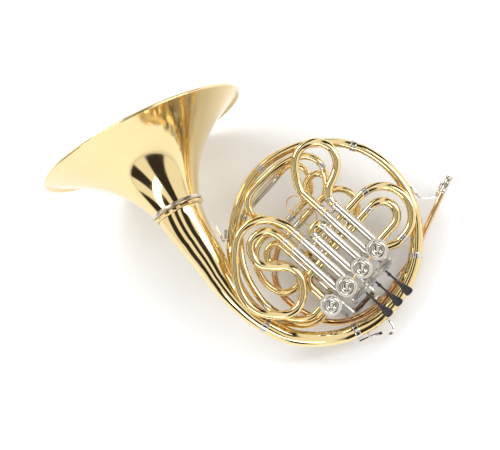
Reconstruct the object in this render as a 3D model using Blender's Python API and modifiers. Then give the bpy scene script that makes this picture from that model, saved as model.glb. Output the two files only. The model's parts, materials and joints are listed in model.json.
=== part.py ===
"""Double french horn, laid down on its bell rim and its back, with the valve caps up.

The horn is modelled in its own plane: u to the right, v up the body and w towards the
valve caps. The slides run along a, which is turned SLIDE_TURN from u, and b is square to a.
At the end the whole horn is laid on the floor.
"""
import math

import bmesh
import bpy
import numpy as np
from mathutils import Matrix, Vector

MM = 0.001
GAP = 0.3 * MM

# Bell
BELL_RADIUS = 155 * MM
BELL_DEPTH = 118 * MM
BELL_WALL = 1.2 * MM
BELL_THROAT = 34 * MM
FLARE_REACH = 300 * MM
RIM_BEAD = 2.2 * MM
RIM_CENTRE = Vector((-268.3, 150.0, -29.0)) * MM
BELL_TURN = math.radians(117.3)
BELL_TILT = math.radians(8.3)
RING_HEIGHT = 6 * MM
RING_RADIUS = 39 * MM

# Tubes, all as outer radii
FRONT_TUBE = 6.2 * MM
REAR_TUBE = 5.2 * MM
RETURN_TUBE = 6.4 * MM
LEADPIPE_TUBE = 4.3 * MM
CROOK_TUBE = 4.8 * MM
SLEEVE_WALL = 0.6 * MM
LEG_PLAY = 0.4 * MM
TAIL_WALL = 1.6 * MM

# Layers of tubing, as heights w over the middle of the body
FRONT_DECK = 27.0 * MM
LOOP_DECK = 13.9 * MM
MID_DECK = 0.5 * MM
BODY_DECK = -2.0 * MM
REAR_DECK = -12.0 * MM
CROSS_DECK = -13.2 * MM
RUN_DECK = -14.2 * MM
BACK_DECK = -24.8 * MM

# Valves
SLIDE_TURN = math.radians(-42.0)
VALVE_A = 56.4 * MM
VALVE_B = 37.7 * MM
VALVE_PITCH = 33.87 * MM
VALVE_LEAN = math.radians(2.6)
CASING_RADIUS = 15.5 * MM
CASING_BORE = 11.7 * MM
CASING_FRONT = 36.0 * MM
CASING_BACK = -20.5 * MM
CHANGE_BACK = -32.0 * MM
END_WALL = 3.5 * MM
ROTOR_PLAY = 0.4 * MM
SPINDLE_RADIUS = 2.8 * MM
CAP_RADIUS = 12.5 * MM
CAP_HEIGHT = 5.2 * MM
ARM_THICKNESS = 2.4 * MM
ARM_STANDOFF = 1.4 * MM
PIN_RADIUS = 1.3 * MM
ROTOR_TURN = math.radians(90.0)

# Slides of the valves
SLIDE_SHIFT = -1.6 * MM
LEG_HALF = 9.4 * MM
FRONT_MOUTH = -32.0 * MM
SHORT_MOUTH = -18.0 * MM
REAR_MOUTH = -28.0 * MM
REAR_SHORT_MOUTH = -9.0 * MM
LEG_DEPTH = 50.0 * MM
SHORT_LEG_DEPTH = 42.0 * MM

# Finger levers
HINGE_A = 83.0 * MM
HINGE_W = 26.0 * MM
ROD_RADIUS = 2.0 * MM
HUB_WALL = 1.5 * MM
LEVER_PITCH = 20.6 * MM
LEVER_B = 23.5 * MM
LEVER_REACH = 51.5 * MM
PADDLE_WIDTH = 13.0 * MM
PADDLE_THICKNESS = 2.0 * MM
LEVER_SWING = math.radians(13.0)
CRANK_RADIUS = 8.5 * MM
WIRE_RADIUS = 1.5 * MM
LINK_THICKNESS = 2.4 * MM
LINK_DROP = 1.6 * MM

# Thumb lever of the change valve
THUMB_A = 97.0 * MM
THUMB_W = -12.0 * MM
THUMB_ARM_B = -45.0 * MM
THUMB_CRANK = 5.0 * MM

SIDES = 8
TURN_STEPS = 20
BEND_STEP = math.radians(19.0)
FINE_BEND = math.radians(12.0)

FINISHES = {
    "brass": ((0.83, 0.60, 0.25), 0.18, 1.0),
    "nickel": ((0.66, 0.64, 0.60), 0.22, 1.0),
    "steel": ((0.45, 0.45, 0.46), 0.30, 1.0),
    "black": ((0.02, 0.02, 0.022), 0.25, 0.0),
}


def clear_scene():
    for obj in list(bpy.data.objects):
        bpy.data.objects.remove(obj, do_unlink=True)


clear_scene()
horn_parts = bpy.data.collections.new("double_french_horn")
cutters = bpy.data.collections.new("cutters")
bpy.context.scene.collection.children.link(horn_parts)
bpy.context.scene.collection.children.link(cutters)
horn = bpy.data.objects.new("horn", None)
horn_parts.objects.link(horn)
joint_frames = {}


def body(u, v, w):
    return Vector((u * MM, v * MM, w))


def along(a, b, w):
    """A point given along and across the slides, all in metres."""
    c, s = math.cos(SLIDE_TURN), math.sin(SLIDE_TURN)
    return Vector((c * a - s * b, s * a + c * b, w))


def deck(a, b, w):
    """The same with a and b in millimetres."""
    return along(a * MM, b * MM, w)


A_AXIS = along(1, 0, 0)
B_AXIS = along(0, 1, 0)
W_AXIS = Vector((0, 0, 1))


def finish_of(obj, finish):
    color, roughness, metallic = FINISHES[finish]
    made = bpy.data.materials.new(f"{obj.name}_{finish}")
    made.use_nodes = True
    shader = made.node_tree.nodes["Principled BSDF"]
    shader.inputs["Base Color"].default_value = (*color, 1.0)
    shader.inputs["Roughness"].default_value = roughness
    shader.inputs["Metallic"].default_value = metallic
    obj.data.materials.append(made)


def add(name, data, finish=None):
    """Finished parts go with the horn, and pieces without a finish are helpers."""
    obj = bpy.data.objects.new(name, data)
    (horn_parts if finish else cutters).objects.link(obj)
    obj.parent = horn
    if finish:
        finish_of(obj, finish)
    else:
        obj.hide_render = True
        obj.display_type = "WIRE"
    return obj


def hide(obj):
    """Makes a helper of an object that has been joined to another."""
    if obj.name in horn_parts.objects:
        horn_parts.objects.unlink(obj)
        cutters.objects.link(obj)
    obj.hide_render = True
    obj.display_type = "WIRE"


def as_mesh(obj):
    """A curve made a mesh with its caps welded on, so that a Boolean can use it."""
    graph = bpy.context.evaluated_depsgraph_get()
    mesh = bpy.data.meshes.new_from_object(obj.evaluated_get(graph))
    made = bmesh.new()
    made.from_mesh(mesh)
    bmesh.ops.remove_doubles(made, verts=made.verts, dist=1e-6)
    bmesh.ops.recalc_face_normals(made, faces=made.faces)
    made.to_mesh(mesh)
    made.free()
    name, finished = obj.name, obj.name in horn_parts.objects
    matrix = obj.matrix_basis.copy()
    materials = list(obj.data.materials)
    bpy.data.objects.remove(obj, do_unlink=True)
    new = bpy.data.objects.new(name, mesh)
    (horn_parts if finished else cutters).objects.link(new)
    new.parent = horn
    new.matrix_basis = matrix
    mesh.materials.clear()
    for material in materials:
        mesh.materials.append(material)
    if not finished:
        hide(new)
    return new


def boolean(obj, other, operation):
    modifier = obj.modifiers.new(operation.lower(), "BOOLEAN")
    modifier.operation = operation
    modifier.object = other


def join(obj, *others):
    for other in others:
        boolean(obj, other, "UNION")
        hide(other)
    return obj


def cut(obj, *others):
    for other in others:
        boolean(obj, other, "DIFFERENCE")
        hide(other)
    return obj


def turned(name, profile, finish, origin, axis, steps=TURN_STEPS):
    """A turned piece from (radius, height) points that run down its outer side."""
    mesh = bpy.data.meshes.new(name)
    made = bmesh.new()
    verts = [made.verts.new((radius, 0, height)) for radius, height in profile]
    for first, second in zip(verts, verts[1:]):
        made.edges.new((first, second))
    on_axis = profile[0][0] == 0 and profile[-1][0] == 0
    if not on_axis:
        made.edges.new((verts[-1], verts[0]))
    made.to_mesh(mesh)
    made.free()
    obj = add(name, mesh, finish)
    obj.rotation_mode = "QUATERNION"
    obj.rotation_quaternion = axis.to_track_quat("Z", "Y")
    obj.location = origin
    screw = obj.modifiers.new("turned", "SCREW")
    screw.axis = "Z"
    screw.steps = screw.render_steps = steps
    screw.use_merge_vertices = on_axis
    screw.merge_threshold = 1e-5
    screw.use_smooth_shade = True
    return obj


def pipe(name, path, finish=None, sides=SIDES, mesh=False):
    """A round tube or wire along (point, radius) pairs, with filled ends."""
    curve = bpy.data.curves.new(name, "CURVE")
    curve.dimensions = "3D"
    curve.bevel_depth = 1.0
    curve.bevel_resolution = (sides - 4) // 2
    curve.use_fill_caps = True
    spline = curve.splines.new("POLY")
    spline.points.add(len(path) - 1)
    for place, (point, radius) in zip(spline.points, path):
        place.co = (*point, 1.0)
        place.radius = radius
    obj = add(name, curve, finish)
    return as_mesh(obj) if mesh else obj


def plate(name, outline, thickness, w, holes=(), finish=None):
    """A flat piece from outlines in the body's plane, centred on height w, as a mesh."""
    curve = bpy.data.curves.new(name, "CURVE")
    curve.dimensions = "2D"
    curve.fill_mode = "BOTH"
    curve.extrude = thickness / 2
    for points in (outline, *holes):
        spline = curve.splines.new("POLY")
        spline.points.add(len(points) - 1)
        for place, point in zip(spline.points, points):
            place.co = (point.x, point.y, 0, 1)
        spline.use_cyclic_u = True
    obj = add(name, curve, finish)
    obj.location.z = w
    return as_mesh(obj)


def straight(*points, radius):
    return [(point, radius) for point in points]


def arc(centre_a, centre_b, radius, start, end, w, tube):
    """Points of a bow in the plane of the slides, from one angle in degrees to another."""
    steps = max(2, round(abs(math.radians(end - start)) / BEND_STEP))
    angles = [math.radians(start + (end - start) * i / steps) for i in range(steps + 1)]
    return [
        (along(centre_a + radius * math.cos(t), centre_b + radius * math.sin(t), w), tube)
        for t in angles
    ]


def smooth(points, radius, most=BEND_STEP):
    """A bend through the points, whose first and last spans stay straight.

    Between them each span is a cubic whose slopes come from its neighbours. Samples are
    kept only where the route has turned by the bend angle, or at the end of a straight span.
    """
    spots = np.array([tuple(point) for point in points])
    count = len(spots)
    radii = np.array(radius if isinstance(radius, (list, tuple)) else [radius] * count)
    lengths = np.linalg.norm(np.diff(spots, axis=0), axis=1)
    runs = np.diff(spots, axis=0) / lengths[:, None]
    slopes = np.empty_like(spots)
    slopes[0], slopes[1], slopes[-2], slopes[-1] = runs[0], runs[0], runs[-1], runs[-1]
    for i in range(2, count - 2):
        before, after = lengths[i - 1], lengths[i]
        slope = (runs[i - 1] * after + runs[i] * before) / (before + after)
        slopes[i] = slope / np.linalg.norm(slope)
    samples = [(spots[0], radii[0])]
    for i in range(1, count - 2):
        steps = max(2, int(lengths[i] / (1.5 * MM)))
        for step in range(steps):
            t = step / steps
            bend = (
                (2 * t**3 - 3 * t**2 + 1) * spots[i]
                + (t**3 - 2 * t**2 + t) * lengths[i] * slopes[i]
                + (3 * t**2 - 2 * t**3) * spots[i + 1]
                + (t**3 - t**2) * lengths[i] * slopes[i + 1]
            )
            samples.append((bend, radii[i] + (radii[i + 1] - radii[i]) * t))
    samples += [(spots[-2], radii[-2]), (spots[-1], radii[-1])]
    kept = [samples[0], samples[1]]
    for i in range(2, len(samples) - 2):
        last = kept[-1][0] - kept[-2][0]
        ahead = samples[i + 1][0] - samples[i][0]
        turn = np.dot(last, ahead) / (np.linalg.norm(last) * np.linalg.norm(ahead))
        if turn < math.cos(most):
            kept.append(samples[i])
    kept += samples[-2:]
    return [(Vector(point), float(size)) for point, size in kept]


def joint(name, origin, axis, parent=None):
    """An empty on a joint's axis, whose own Z runs along it."""
    frame = Matrix.Translation(origin) @ axis.to_track_quat("Z", "Y").to_matrix().to_4x4()
    empty = bpy.data.objects.new(name, None)
    empty.empty_display_size = 0.02
    horn_parts.objects.link(empty)
    empty.parent = parent or horn
    if parent:
        empty.matrix_parent_inverse = joint_frames[parent.name].inverted()
    empty.matrix_basis = frame
    joint_frames[name] = frame
    return empty


def hang(obj, empty):
    """Puts a piece on a joint without moving it."""
    obj.parent = empty
    obj.matrix_parent_inverse = joint_frames[empty.name].inverted()


def valve_centre(index):
    b = VALVE_B - VALVE_PITCH * index
    return VALVE_A + (VALVE_B - b) * math.tan(VALVE_LEAN), b


def valve_back(index):
    return CHANGE_BACK if index == 3 else CASING_BACK


def casing_cutter(name, index):
    a, b = valve_centre(index)
    radius, low, high = CASING_RADIUS + GAP * 1.2, -0.05, 0.06
    profile = [(0, high), (radius, high), (radius, low), (0, low)]
    return turned(f"{name}_trim", profile, None, along(a, b, 0), W_AXIS)


# Bell

def bell_axis():
    flat = math.cos(BELL_TILT)
    return Vector(
        (math.cos(BELL_TURN) * flat, math.sin(BELL_TURN) * flat, -math.sin(BELL_TILT))
    )


def ring_centre():
    return RIM_CENTRE - bell_axis() * BELL_DEPTH


def flare_radius(height):
    """Outer radius at a height over the screw ring: a horn that opens as a power."""
    power = math.log(BELL_RADIUS / BELL_THROAT) / math.log(1 + BELL_DEPTH / FLARE_REACH)
    return BELL_RADIUS * (1 + (BELL_DEPTH - height) / FLARE_REACH) ** -power


def build_bell():
    heights = [0, RING_HEIGHT]
    heights += [BELL_DEPTH * (1 - (1 - i / 9) ** 1.6) for i in range(1, 10)]
    top = BELL_DEPTH
    bead = [
        (BELL_RADIUS + RIM_BEAD * math.cos(t), top - RIM_BEAD + RIM_BEAD * math.sin(t))
        for t in (math.radians(angle) for angle in (150, 80, 10, -70))
    ]
    down = [(flare_radius(h) + BELL_WALL / 2, h) for h in reversed(heights[1:-1])]
    throat = [(BELL_THROAT + BELL_WALL / 2, 0), (BELL_THROAT - BELL_WALL / 2, 0)]
    inside = [(flare_radius(h) - BELL_WALL / 2, h) for h in heights[1:-1]]
    turned(
        "bell_flare", bead + down + throat + inside, "brass", ring_centre(), bell_axis(), 32
    )
    low, high = GAP * 2, RING_HEIGHT
    hole = flare_radius(high) + BELL_WALL / 2 + GAP
    throat_hole = flare_radius(low) + BELL_WALL / 2 + GAP
    ring = [
        (hole, high), (RING_RADIUS - 0.8 * MM, high), (RING_RADIUS, high - 1 * MM),
        (RING_RADIUS, low + 1 * MM), (RING_RADIUS - 1 * MM, low), (throat_hole, low),
    ]
    turned("bell_screw_ring", ring, "brass", ring_centre(), bell_axis(), 32)
    shell = BELL_THROAT - 0.5 * MM + GAP
    socket = [
        (shell, -low), (RING_RADIUS - 1 * MM, -low), (RING_RADIUS, -low - 1 * MM),
        (RING_RADIUS, -high + 1.5 * MM), (RING_RADIUS - 2 * MM, -high), (shell, -high),
    ]
    turned("bell_socket_ring", socket, "brass", ring_centre(), bell_axis(), 32)


def tail_route(shrink=0.0):
    start = ring_centre() - bell_axis() * (GAP * 2)
    low = ring_centre() - bell_axis() * (RING_HEIGHT + 1 * MM)
    throat = BELL_THROAT - 0.5 * MM
    points = [
        (start, throat), (low, throat), (body(-190, 4, -8 * MM), 28 * MM),
        (body(-170, -26, -6 * MM), 24 * MM), (body(-155, -51, -4 * MM), 20 * MM),
        (body(-137.5, -74.5, -2.5 * MM), 17 * MM), (body(-120.5, -93, BODY_DECK), 14.7 * MM),
        (body(-102.5, -109, BODY_DECK), 13.2 * MM), (body(-84, -121, BODY_DECK), 12.5 * MM),
        (body(-48, -136.7, BODY_DECK), 11.6 * MM), (body(-26, -139.2, BODY_DECK), 11.3 * MM),
        (body(15, -135.9, BODY_DECK), 10.8 * MM), (body(31.5, -131.2, BODY_DECK), 10.6 * MM),
        (body(40.5, -126.86, BODY_DECK), 10.6 * MM),
    ]
    if shrink:
        points = points[:6]
    return smooth([p for p, _ in points], [r - shrink for _, r in points], FINE_BEND)


def build_tail():
    tail = pipe("bell_tail", tail_route(), "brass", sides=16, mesh=True)
    bore = tail_route(TAIL_WALL)
    bore[0] = (bore[0][0] + bell_axis() * 5 * MM, bore[0][1])
    cut(tail, pipe("tail_bore", bore, sides=16, mesh=True))


# The large tube of the body

def build_main_branch():
    points = [
        (41.04, -126.6, 10.6), (49, -122.77, 10.5), (65.5, -113.4, 10.4), (90.5, -90.5, 10.15),
        (109.6, -63.3, 10), (122, -32.7, 9.75), (126.5, 0, 9.5), (125.1, 33.5, 8.75),
        (115.6, 66.8, 7.75), (96.7, 96.7, 6.9), (70, 121.2, 6.6), (43.86, 134.98, 6.5),
        (36.2, 137.3, 6.5),
    ]
    radii = [radius * MM for *_, radius in points]
    route = smooth([body(u, v, BODY_DECK) for u, v, _ in points], radii, FINE_BEND)
    pipe("main_branch", route, "brass", sides=10)
    for name, joint_point, direction, tube in (
        ("tail_ferrule", (40.77, -126.73), (0.901, 0.433), 10.6 * MM),
        ("top_ferrule", (35.9, 137.39), (-0.957, 0.29), 6.5 * MM),
    ):
        hole, half = tube + GAP * 1.6, 4 * MM
        ring = [(hole, half), (hole + 0.9 * MM, half), (hole + 0.9 * MM, -half), (hole, -half)]
        axis = Vector((*direction, 0)).normalized()
        turned(name, ring, "nickel", body(*joint_point, BODY_DECK), axis)


def build_outer_return():
    tube = RETURN_TUBE
    points = [
        body(35.63, 137.47, BODY_DECK), body(27.6, 139.9, BODY_DECK), body(0, 142.3, BODY_DECK),
        body(-37.1, 138.3, BODY_DECK), body(-71.7, 124.1, BODY_DECK),
        body(-101, 101, BODY_DECK), body(-121.4, 70.1, BODY_DECK),
        body(-133.5, 35.8, BODY_DECK), body(-137.6, 7.2, -2.5 * MM),
        body(-139.2, -9.7, -8 * MM), body(-137.4, -26.7, -18 * MM),
        body(-134.1, -43.6, -27 * MM), body(-127.2, -62, -30 * MM),
        body(-111.1, -86.8, -27 * MM), body(-89.3, -106.5, -22 * MM),
        body(-66.5, -115.2, -17 * MM), deck(40, -121.5, -14 * MM), deck(53, -112, CROSS_DECK),
        deck(62, -100, CROSS_DECK), deck(65.5, -88, CROSS_DECK), deck(65.5, -70, CROSS_DECK),
    ]
    return_tube = pipe("outer_return", smooth(points, tube, FINE_BEND), "brass", mesh=True)
    cut(return_tube, casing_cutter("outer_return", 3))


def build_left_run():
    points = [
        deck(55.5, -70, 1 * MM), deck(55.5, -88, 1 * MM), deck(52, -99, 1 * MM),
        deck(43.5, -109.5, 1 * MM), deck(27, -119.5, 0.5 * MM), deck(-4, -126, -1 * MM),
        deck(-31, -121.5, -3 * MM), deck(-62, -109.5, -6 * MM), deck(-86.5, -90.5, -10 * MM),
        deck(-104.5, -71, -13 * MM), deck(-114, -53, RUN_DECK), deck(-117.5, -41, RUN_DECK),
        deck(-117.5, -36.4, RUN_DECK),
    ]
    run = pipe("left_run", smooth(points, REAR_TUBE), "brass", mesh=True)
    cut(run, casing_cutter("left_run", 3))


def build_second_run():
    """From the second tuning slide under the front loop, up the left side and over to
    the first valve."""
    points = [
        deck(-63, -22.4, BACK_DECK), deck(-63, -25, BACK_DECK), deck(-66.5, -29, -23 * MM),
        deck(-74.5, -31, -16.5 * MM), deck(-85, -33.8, -7 * MM), deck(-95, -39, 2 * MM),
        deck(-102, -43.5, 9 * MM), deck(-110, -43, 13 * MM), deck(-120, -38, LOOP_DECK), deck(-127.5, -27, LOOP_DECK),
        deck(-129.5, -12, LOOP_DECK), deck(-128.5, 8, LOOP_DECK), deck(-127, 25, LOOP_DECK),
        deck(-123, 42, LOOP_DECK), deck(-116.5, 56, LOOP_DECK), deck(-106, 69, LOOP_DECK),
        deck(-94, 75, LOOP_DECK), deck(-82, 75, LOOP_DECK), deck(-71, 70, 11 * MM),
        deck(-58, 60.5, 4 * MM), deck(-47, 49.5, MID_DECK), deck(-38, 46, MID_DECK),
        deck(50, 46, MID_DECK),
    ]
    run = pipe("second_run", smooth(points, REAR_TUBE), "brass", mesh=True)
    cut(run, casing_cutter("second_run", 0))


# Leadpipe

def build_leadpipe():
    tube, crook = LEADPIPE_TUBE, CROOK_TUBE
    start, straight_end = body(175.5, 94.5, -8 * MM), body(138, 11, -15 * MM)
    run = (straight_end - start).normalized()
    receiver_length, bore, lip = 26 * MM, 3.3 * MM, 0.9 * MM
    wide = tube + 0.5 * MM
    profile = [
        (bore, 0), (wide - 0.2 * MM, 0), (wide + lip, -1.2 * MM), (wide + lip, -3 * MM),
        (wide, -4.4 * MM), (wide, -receiver_length), (0, -receiver_length),
        (0, -receiver_length + 3 * MM), (bore - 0.8 * MM, -receiver_length + 3 * MM),
    ]
    profile = [profile[7], profile[8], profile[0], *profile[1:7]]
    turned("mouthpiece_receiver", profile, "nickel", start, -run, 16)
    pipe_start = start + run * (receiver_length + GAP)
    points = [
        pipe_start, straight_end, body(130, -8, -17.2 * MM), body(118, -30, -16.6 * MM),
        body(104, -50, -14 * MM), body(88, -73, -13.5 * MM), body(70, -93, -13.5 * MM),
        body(50, -106, -16 * MM), body(20, -116, -22 * MM), body(0, -115.5, -25.2 * MM),
        body(-28, -105, -25.2 * MM), body(-45, -95, -25.2 * MM), body(-62, -80, -25.2 * MM),
        body(-73, -62, -25.2 * MM), deck(-31, -80, -25.2 * MM), deck(-43, -62, -25 * MM),
        deck(-47.7, -48, BACK_DECK), deck(-47.7, -44.4, BACK_DECK),
    ]
    radii = [tube, tube, tube, tube] + [crook] * (len(points) - 4)
    pipe("leadpipe", smooth(points, radii, FINE_BEND), "brass")
    across = Vector((run.y, -run.x, 0)).normalized()
    seat = start + run * (start.x - 161.2 * MM) / abs(run.x) * 0.62
    flange = 2.0 * MM
    foot = seat + across * (tube + flange + GAP * 1.5)
    brace = [
        body(119.6, 80.4, BODY_DECK), body(125.4, 71.2, BODY_DECK), body(128, 66.5, -3 * MM),
        body(137, 62, -6 * MM), body(148, 64, -8 * MM),
    ]
    brace += [foot + run * 14 * MM, foot + run * 8 * MM, foot - run * 8 * MM]
    wire = smooth(brace, 1.1 * MM)
    thick = [
        (point, flange if i < 2 or i > len(wire) - 3 else radius)
        for i, (point, radius) in enumerate(wire)
    ]
    pipe("leadpipe_brace", thick, "nickel")


def build_bell_brace():
    points = [
        body(-160.6, 22.6, -7 * MM), body(-152.3, 6.2, -7 * MM), body(-151.3, 3.4, -6.5 * MM),
        body(-149.4, 1, -5 * MM), body(-147.4, 3, -3 * MM), body(-146.5, 6, -2.2 * MM),
        body(-146.2, 17.6, -2 * MM),
    ]
    wire = smooth(points, 1.2 * MM)
    thick = [
        (point, 2.0 * MM if i < 2 or i > len(wire) - 3 else radius)
        for i, (point, radius) in enumerate(wire)
    ]
    pipe("bell_brace", thick, "nickel")


# Slides

def sleeve(name, mouth, direction, length, tube, finish=None, plug=6 * MM):
    """An outer slide tube, open at its mouth; direction points out of the mouth."""
    bore = tube - SLEEVE_WALL
    profile = [
        (0, -length + plug), (bore, -length + plug), (bore, 0), (tube, 0), (tube, -length),
        (0, -length),
    ]
    return turned(name, profile, finish, mouth, direction, 12)


def tie(name, first, second, radius=1.4 * MM):
    """A short brace between two tubes, sunk a little into the wall of each."""
    return pipe(name, straight(first, second, radius=radius), mesh=True)


def sleeve_pair(name, mouths, direction, lengths, tube, valves):
    """Two sleeves side by side with the brace that holds them, trimmed to the casing."""
    (first, second), (one, two) = mouths, lengths
    pair = sleeve(name, first, direction, one, tube, "nickel")
    other = sleeve(f"{name}_second", second, direction, two, tube)
    span = (second - first).normalized()
    sink = tube - SLEEVE_WALL / 2
    if (second - first).length > 2 * tube:
        inset = -direction * 5 * MM
        join(pair, tie(f"{name}_tie", first + span * sink + inset, second - span * sink + inset))
    join(pair, other)
    for place, index in enumerate(valves):
        cut(pair, casing_cutter(f"{name}_{place}", index))
    return pair


def slide(name, legs, bow, leg_radius, tube, extra=()):
    """The moving slide: two thin legs, and a bow as wide as the sleeves."""
    (first_end, first_mouth), (second_end, second_mouth) = legs
    first_out = (first_mouth - first_end).normalized()
    second_out = (second_mouth - second_end).normalized()
    step = 0.2 * MM
    path = [(first_end, leg_radius), (first_mouth + first_out * GAP, leg_radius)]
    path += [(first_mouth + first_out * (GAP + step), tube), *bow]
    path += [(second_mouth + second_out * (GAP + step), tube)]
    path += [(second_mouth + second_out * GAP, leg_radius), (second_end, leg_radius)]
    made = pipe(name, path, "brass", mesh=bool(extra))
    return join(made, *extra) if extra else made


def leg_radius(tube):
    return tube - SLEEVE_WALL - LEG_PLAY


def valve_slide(name, valve, legs_b, mouth_a, depth, bow, deck_w, tube):
    """A slide that draws straight out of a valve, its sleeves and its joint's empty."""
    a, b = valve_centre(valve)
    mouths = [along(mouth_a, leg, deck_w) for leg in legs_b]
    ends = [along(mouth_a + depth, leg, deck_w) for leg in legs_b]
    reach = a - 6 * MM - mouth_a
    trims = (2, 3) if name == "third_rear" else (valve,)
    sleeve_pair(f"{name}_sleeves", mouths, -A_AXIS, (reach, reach), tube, trims)
    made = slide(f"{name}_slide", list(zip(ends, mouths)), bow, leg_radius(tube), tube)
    empty = joint(f"{name}_draw", mouths[0], -A_AXIS)
    hang(made, empty)


def legs_of(valve):
    b = valve_centre(valve)[1] + SLIDE_SHIFT
    return b + LEG_HALF, b - LEG_HALF


def build_front_slides():
    high, low = legs_of(0)
    points = [
        along(FRONT_MOUTH - 1 * MM, high, FRONT_DECK), along(FRONT_MOUTH - 5 * MM, high, FRONT_DECK),
        *(deck(a, b, FRONT_DECK) for a, b in (
            (-46.5, 50.5), (-52, 58), (-54.5, 66), (-57.5, 75), (-63, 86), (-73, 95.5),
            (-87, 100.5), (-102, 97), (-113, 87), (-118, 73), (-116, 60), (-109, 49),
            (-99, 39.5), (-88, 31.5),
        )),
        along(-75 * MM, low, FRONT_DECK), along(FRONT_MOUTH - 1 * MM, low, FRONT_DECK),
    ]
    valve_slide(
        "first_front", 0, (high, low), FRONT_MOUTH, LEG_DEPTH, smooth(points, FRONT_TUBE),
        FRONT_DECK, FRONT_TUBE,
    )
    high, low = legs_of(1)
    bow = arc(SHORT_MOUTH - 3 * MM, (high + low) / 2, LEG_HALF, 90, 270, FRONT_DECK, FRONT_TUBE)
    valve_slide(
        "second_front", 1, (high, low), SHORT_MOUTH, SHORT_LEG_DEPTH, bow, FRONT_DECK, FRONT_TUBE
    )
    high, low = legs_of(2)
    points = [
        along(FRONT_MOUTH - 1 * MM, high, FRONT_DECK), along(-54 * MM, high, FRONT_DECK),
        *(body(u, v, FRONT_DECK) for u, v in (
            (-72, 28.5), (-86, 31.2), (-101, 30), (-113, 25.3), (-123, 16.5), (-129.5, 3),
            (-132.2, -15), (-132.2, -35), (-130, -55), (-124, -73), (-112, -89),
            (-95, -99.5), (-75, -103.3), (-58, -101.5), (-44, -92.5), (-37, -78),
            (-36.5, -63), (-41.5, -48), (-51, -38), (-62, -35), (-75, -35.3), (-89, -34.5),
            (-100, -30), (-108, -20), (-111.2, -8), (-108.5, 3), (-101, 11), (-90, 15.3),
            (-80, 14),
        )),
        along(-55 * MM, low, FRONT_DECK), along(FRONT_MOUTH - 1 * MM, low, FRONT_DECK),
    ]
    valve_slide(
        "third_front", 2, (high, low), FRONT_MOUTH, LEG_DEPTH, smooth(points, FRONT_TUBE),
        FRONT_DECK, FRONT_TUBE,
    )


def build_rear_slides():
    high, low = legs_of(0)
    points = [
        along(REAR_MOUTH - 1 * MM, high, REAR_DECK), along(REAR_MOUTH - 11 * MM, high, REAR_DECK),
        *(deck(a, b, REAR_DECK) for a, b in (
            (-48, 49.5), (-54, 58), (-60, 65), (-68, 67.3), (-76.4, 63.8), (-80.8, 54.7),
            (-79.5, 43.7), (-74.9, 34.7),
        )),
        along(-63 * MM, low, REAR_DECK), along(REAR_MOUTH - 1 * MM, low, REAR_DECK),
    ]
    valve_slide(
        "first_rear", 0, (high, low), REAR_MOUTH, LEG_DEPTH, smooth(points, REAR_TUBE),
        REAR_DECK, REAR_TUBE,
    )
    high, low = legs_of(1)
    bow = arc(
        REAR_SHORT_MOUTH - 3 * MM, (high + low) / 2, LEG_HALF, 90, 270, REAR_DECK, REAR_TUBE
    )
    valve_slide(
        "second_rear", 1, (high, low), REAR_SHORT_MOUTH, SHORT_LEG_DEPTH, bow, REAR_DECK,
        REAR_TUBE,
    )
    high, low = -36.6 * MM, -47.6 * MM
    points = [
        along(REAR_MOUTH - 1 * MM, high, REAR_DECK), along(-50 * MM, high, REAR_DECK),
        *(deck(a, b, REAR_DECK) for a, b in (
            (-63.5, -40.5), (-70.6, -51.5), (-71.5, -66.9), (-66.5, -80.2), (-58.5, -88),
            (-46.9, -97.4), (-30.9, -102.7), (-14.5, -102.7), (0.4, -97.4), (8, -87.4),
            (10.2, -75.6), (3.7, -65.5), (-8, -61), (-22, -64.5), (-34, -72), (-44.2, -76.5),
            (-53, -71.5), (-56.8, -60.5),
        )),
        along(-49 * MM, low - 0.4 * MM, REAR_DECK), along(-44 * MM, low, REAR_DECK),
        along(REAR_MOUTH - 1 * MM, low, REAR_DECK),
    ]
    valve_slide(
        "third_rear", 2, (high, low), REAR_MOUTH, LEG_DEPTH, smooth(points, REAR_TUBE),
        REAR_DECK, REAR_TUBE,
    )


def pull_ring(name, centre, radius=11.5 * MM, wire=0.9 * MM):
    bpy.ops.mesh.primitive_torus_add(
        major_radius=radius, minor_radius=wire, major_segments=20, minor_segments=6,
        location=centre,
    )
    ring = bpy.context.object
    ring.name = name
    for collection in list(ring.users_collection):
        collection.objects.unlink(ring)
    cutters.objects.link(ring)
    ring.parent = horn
    hide(ring)
    return ring


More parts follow.
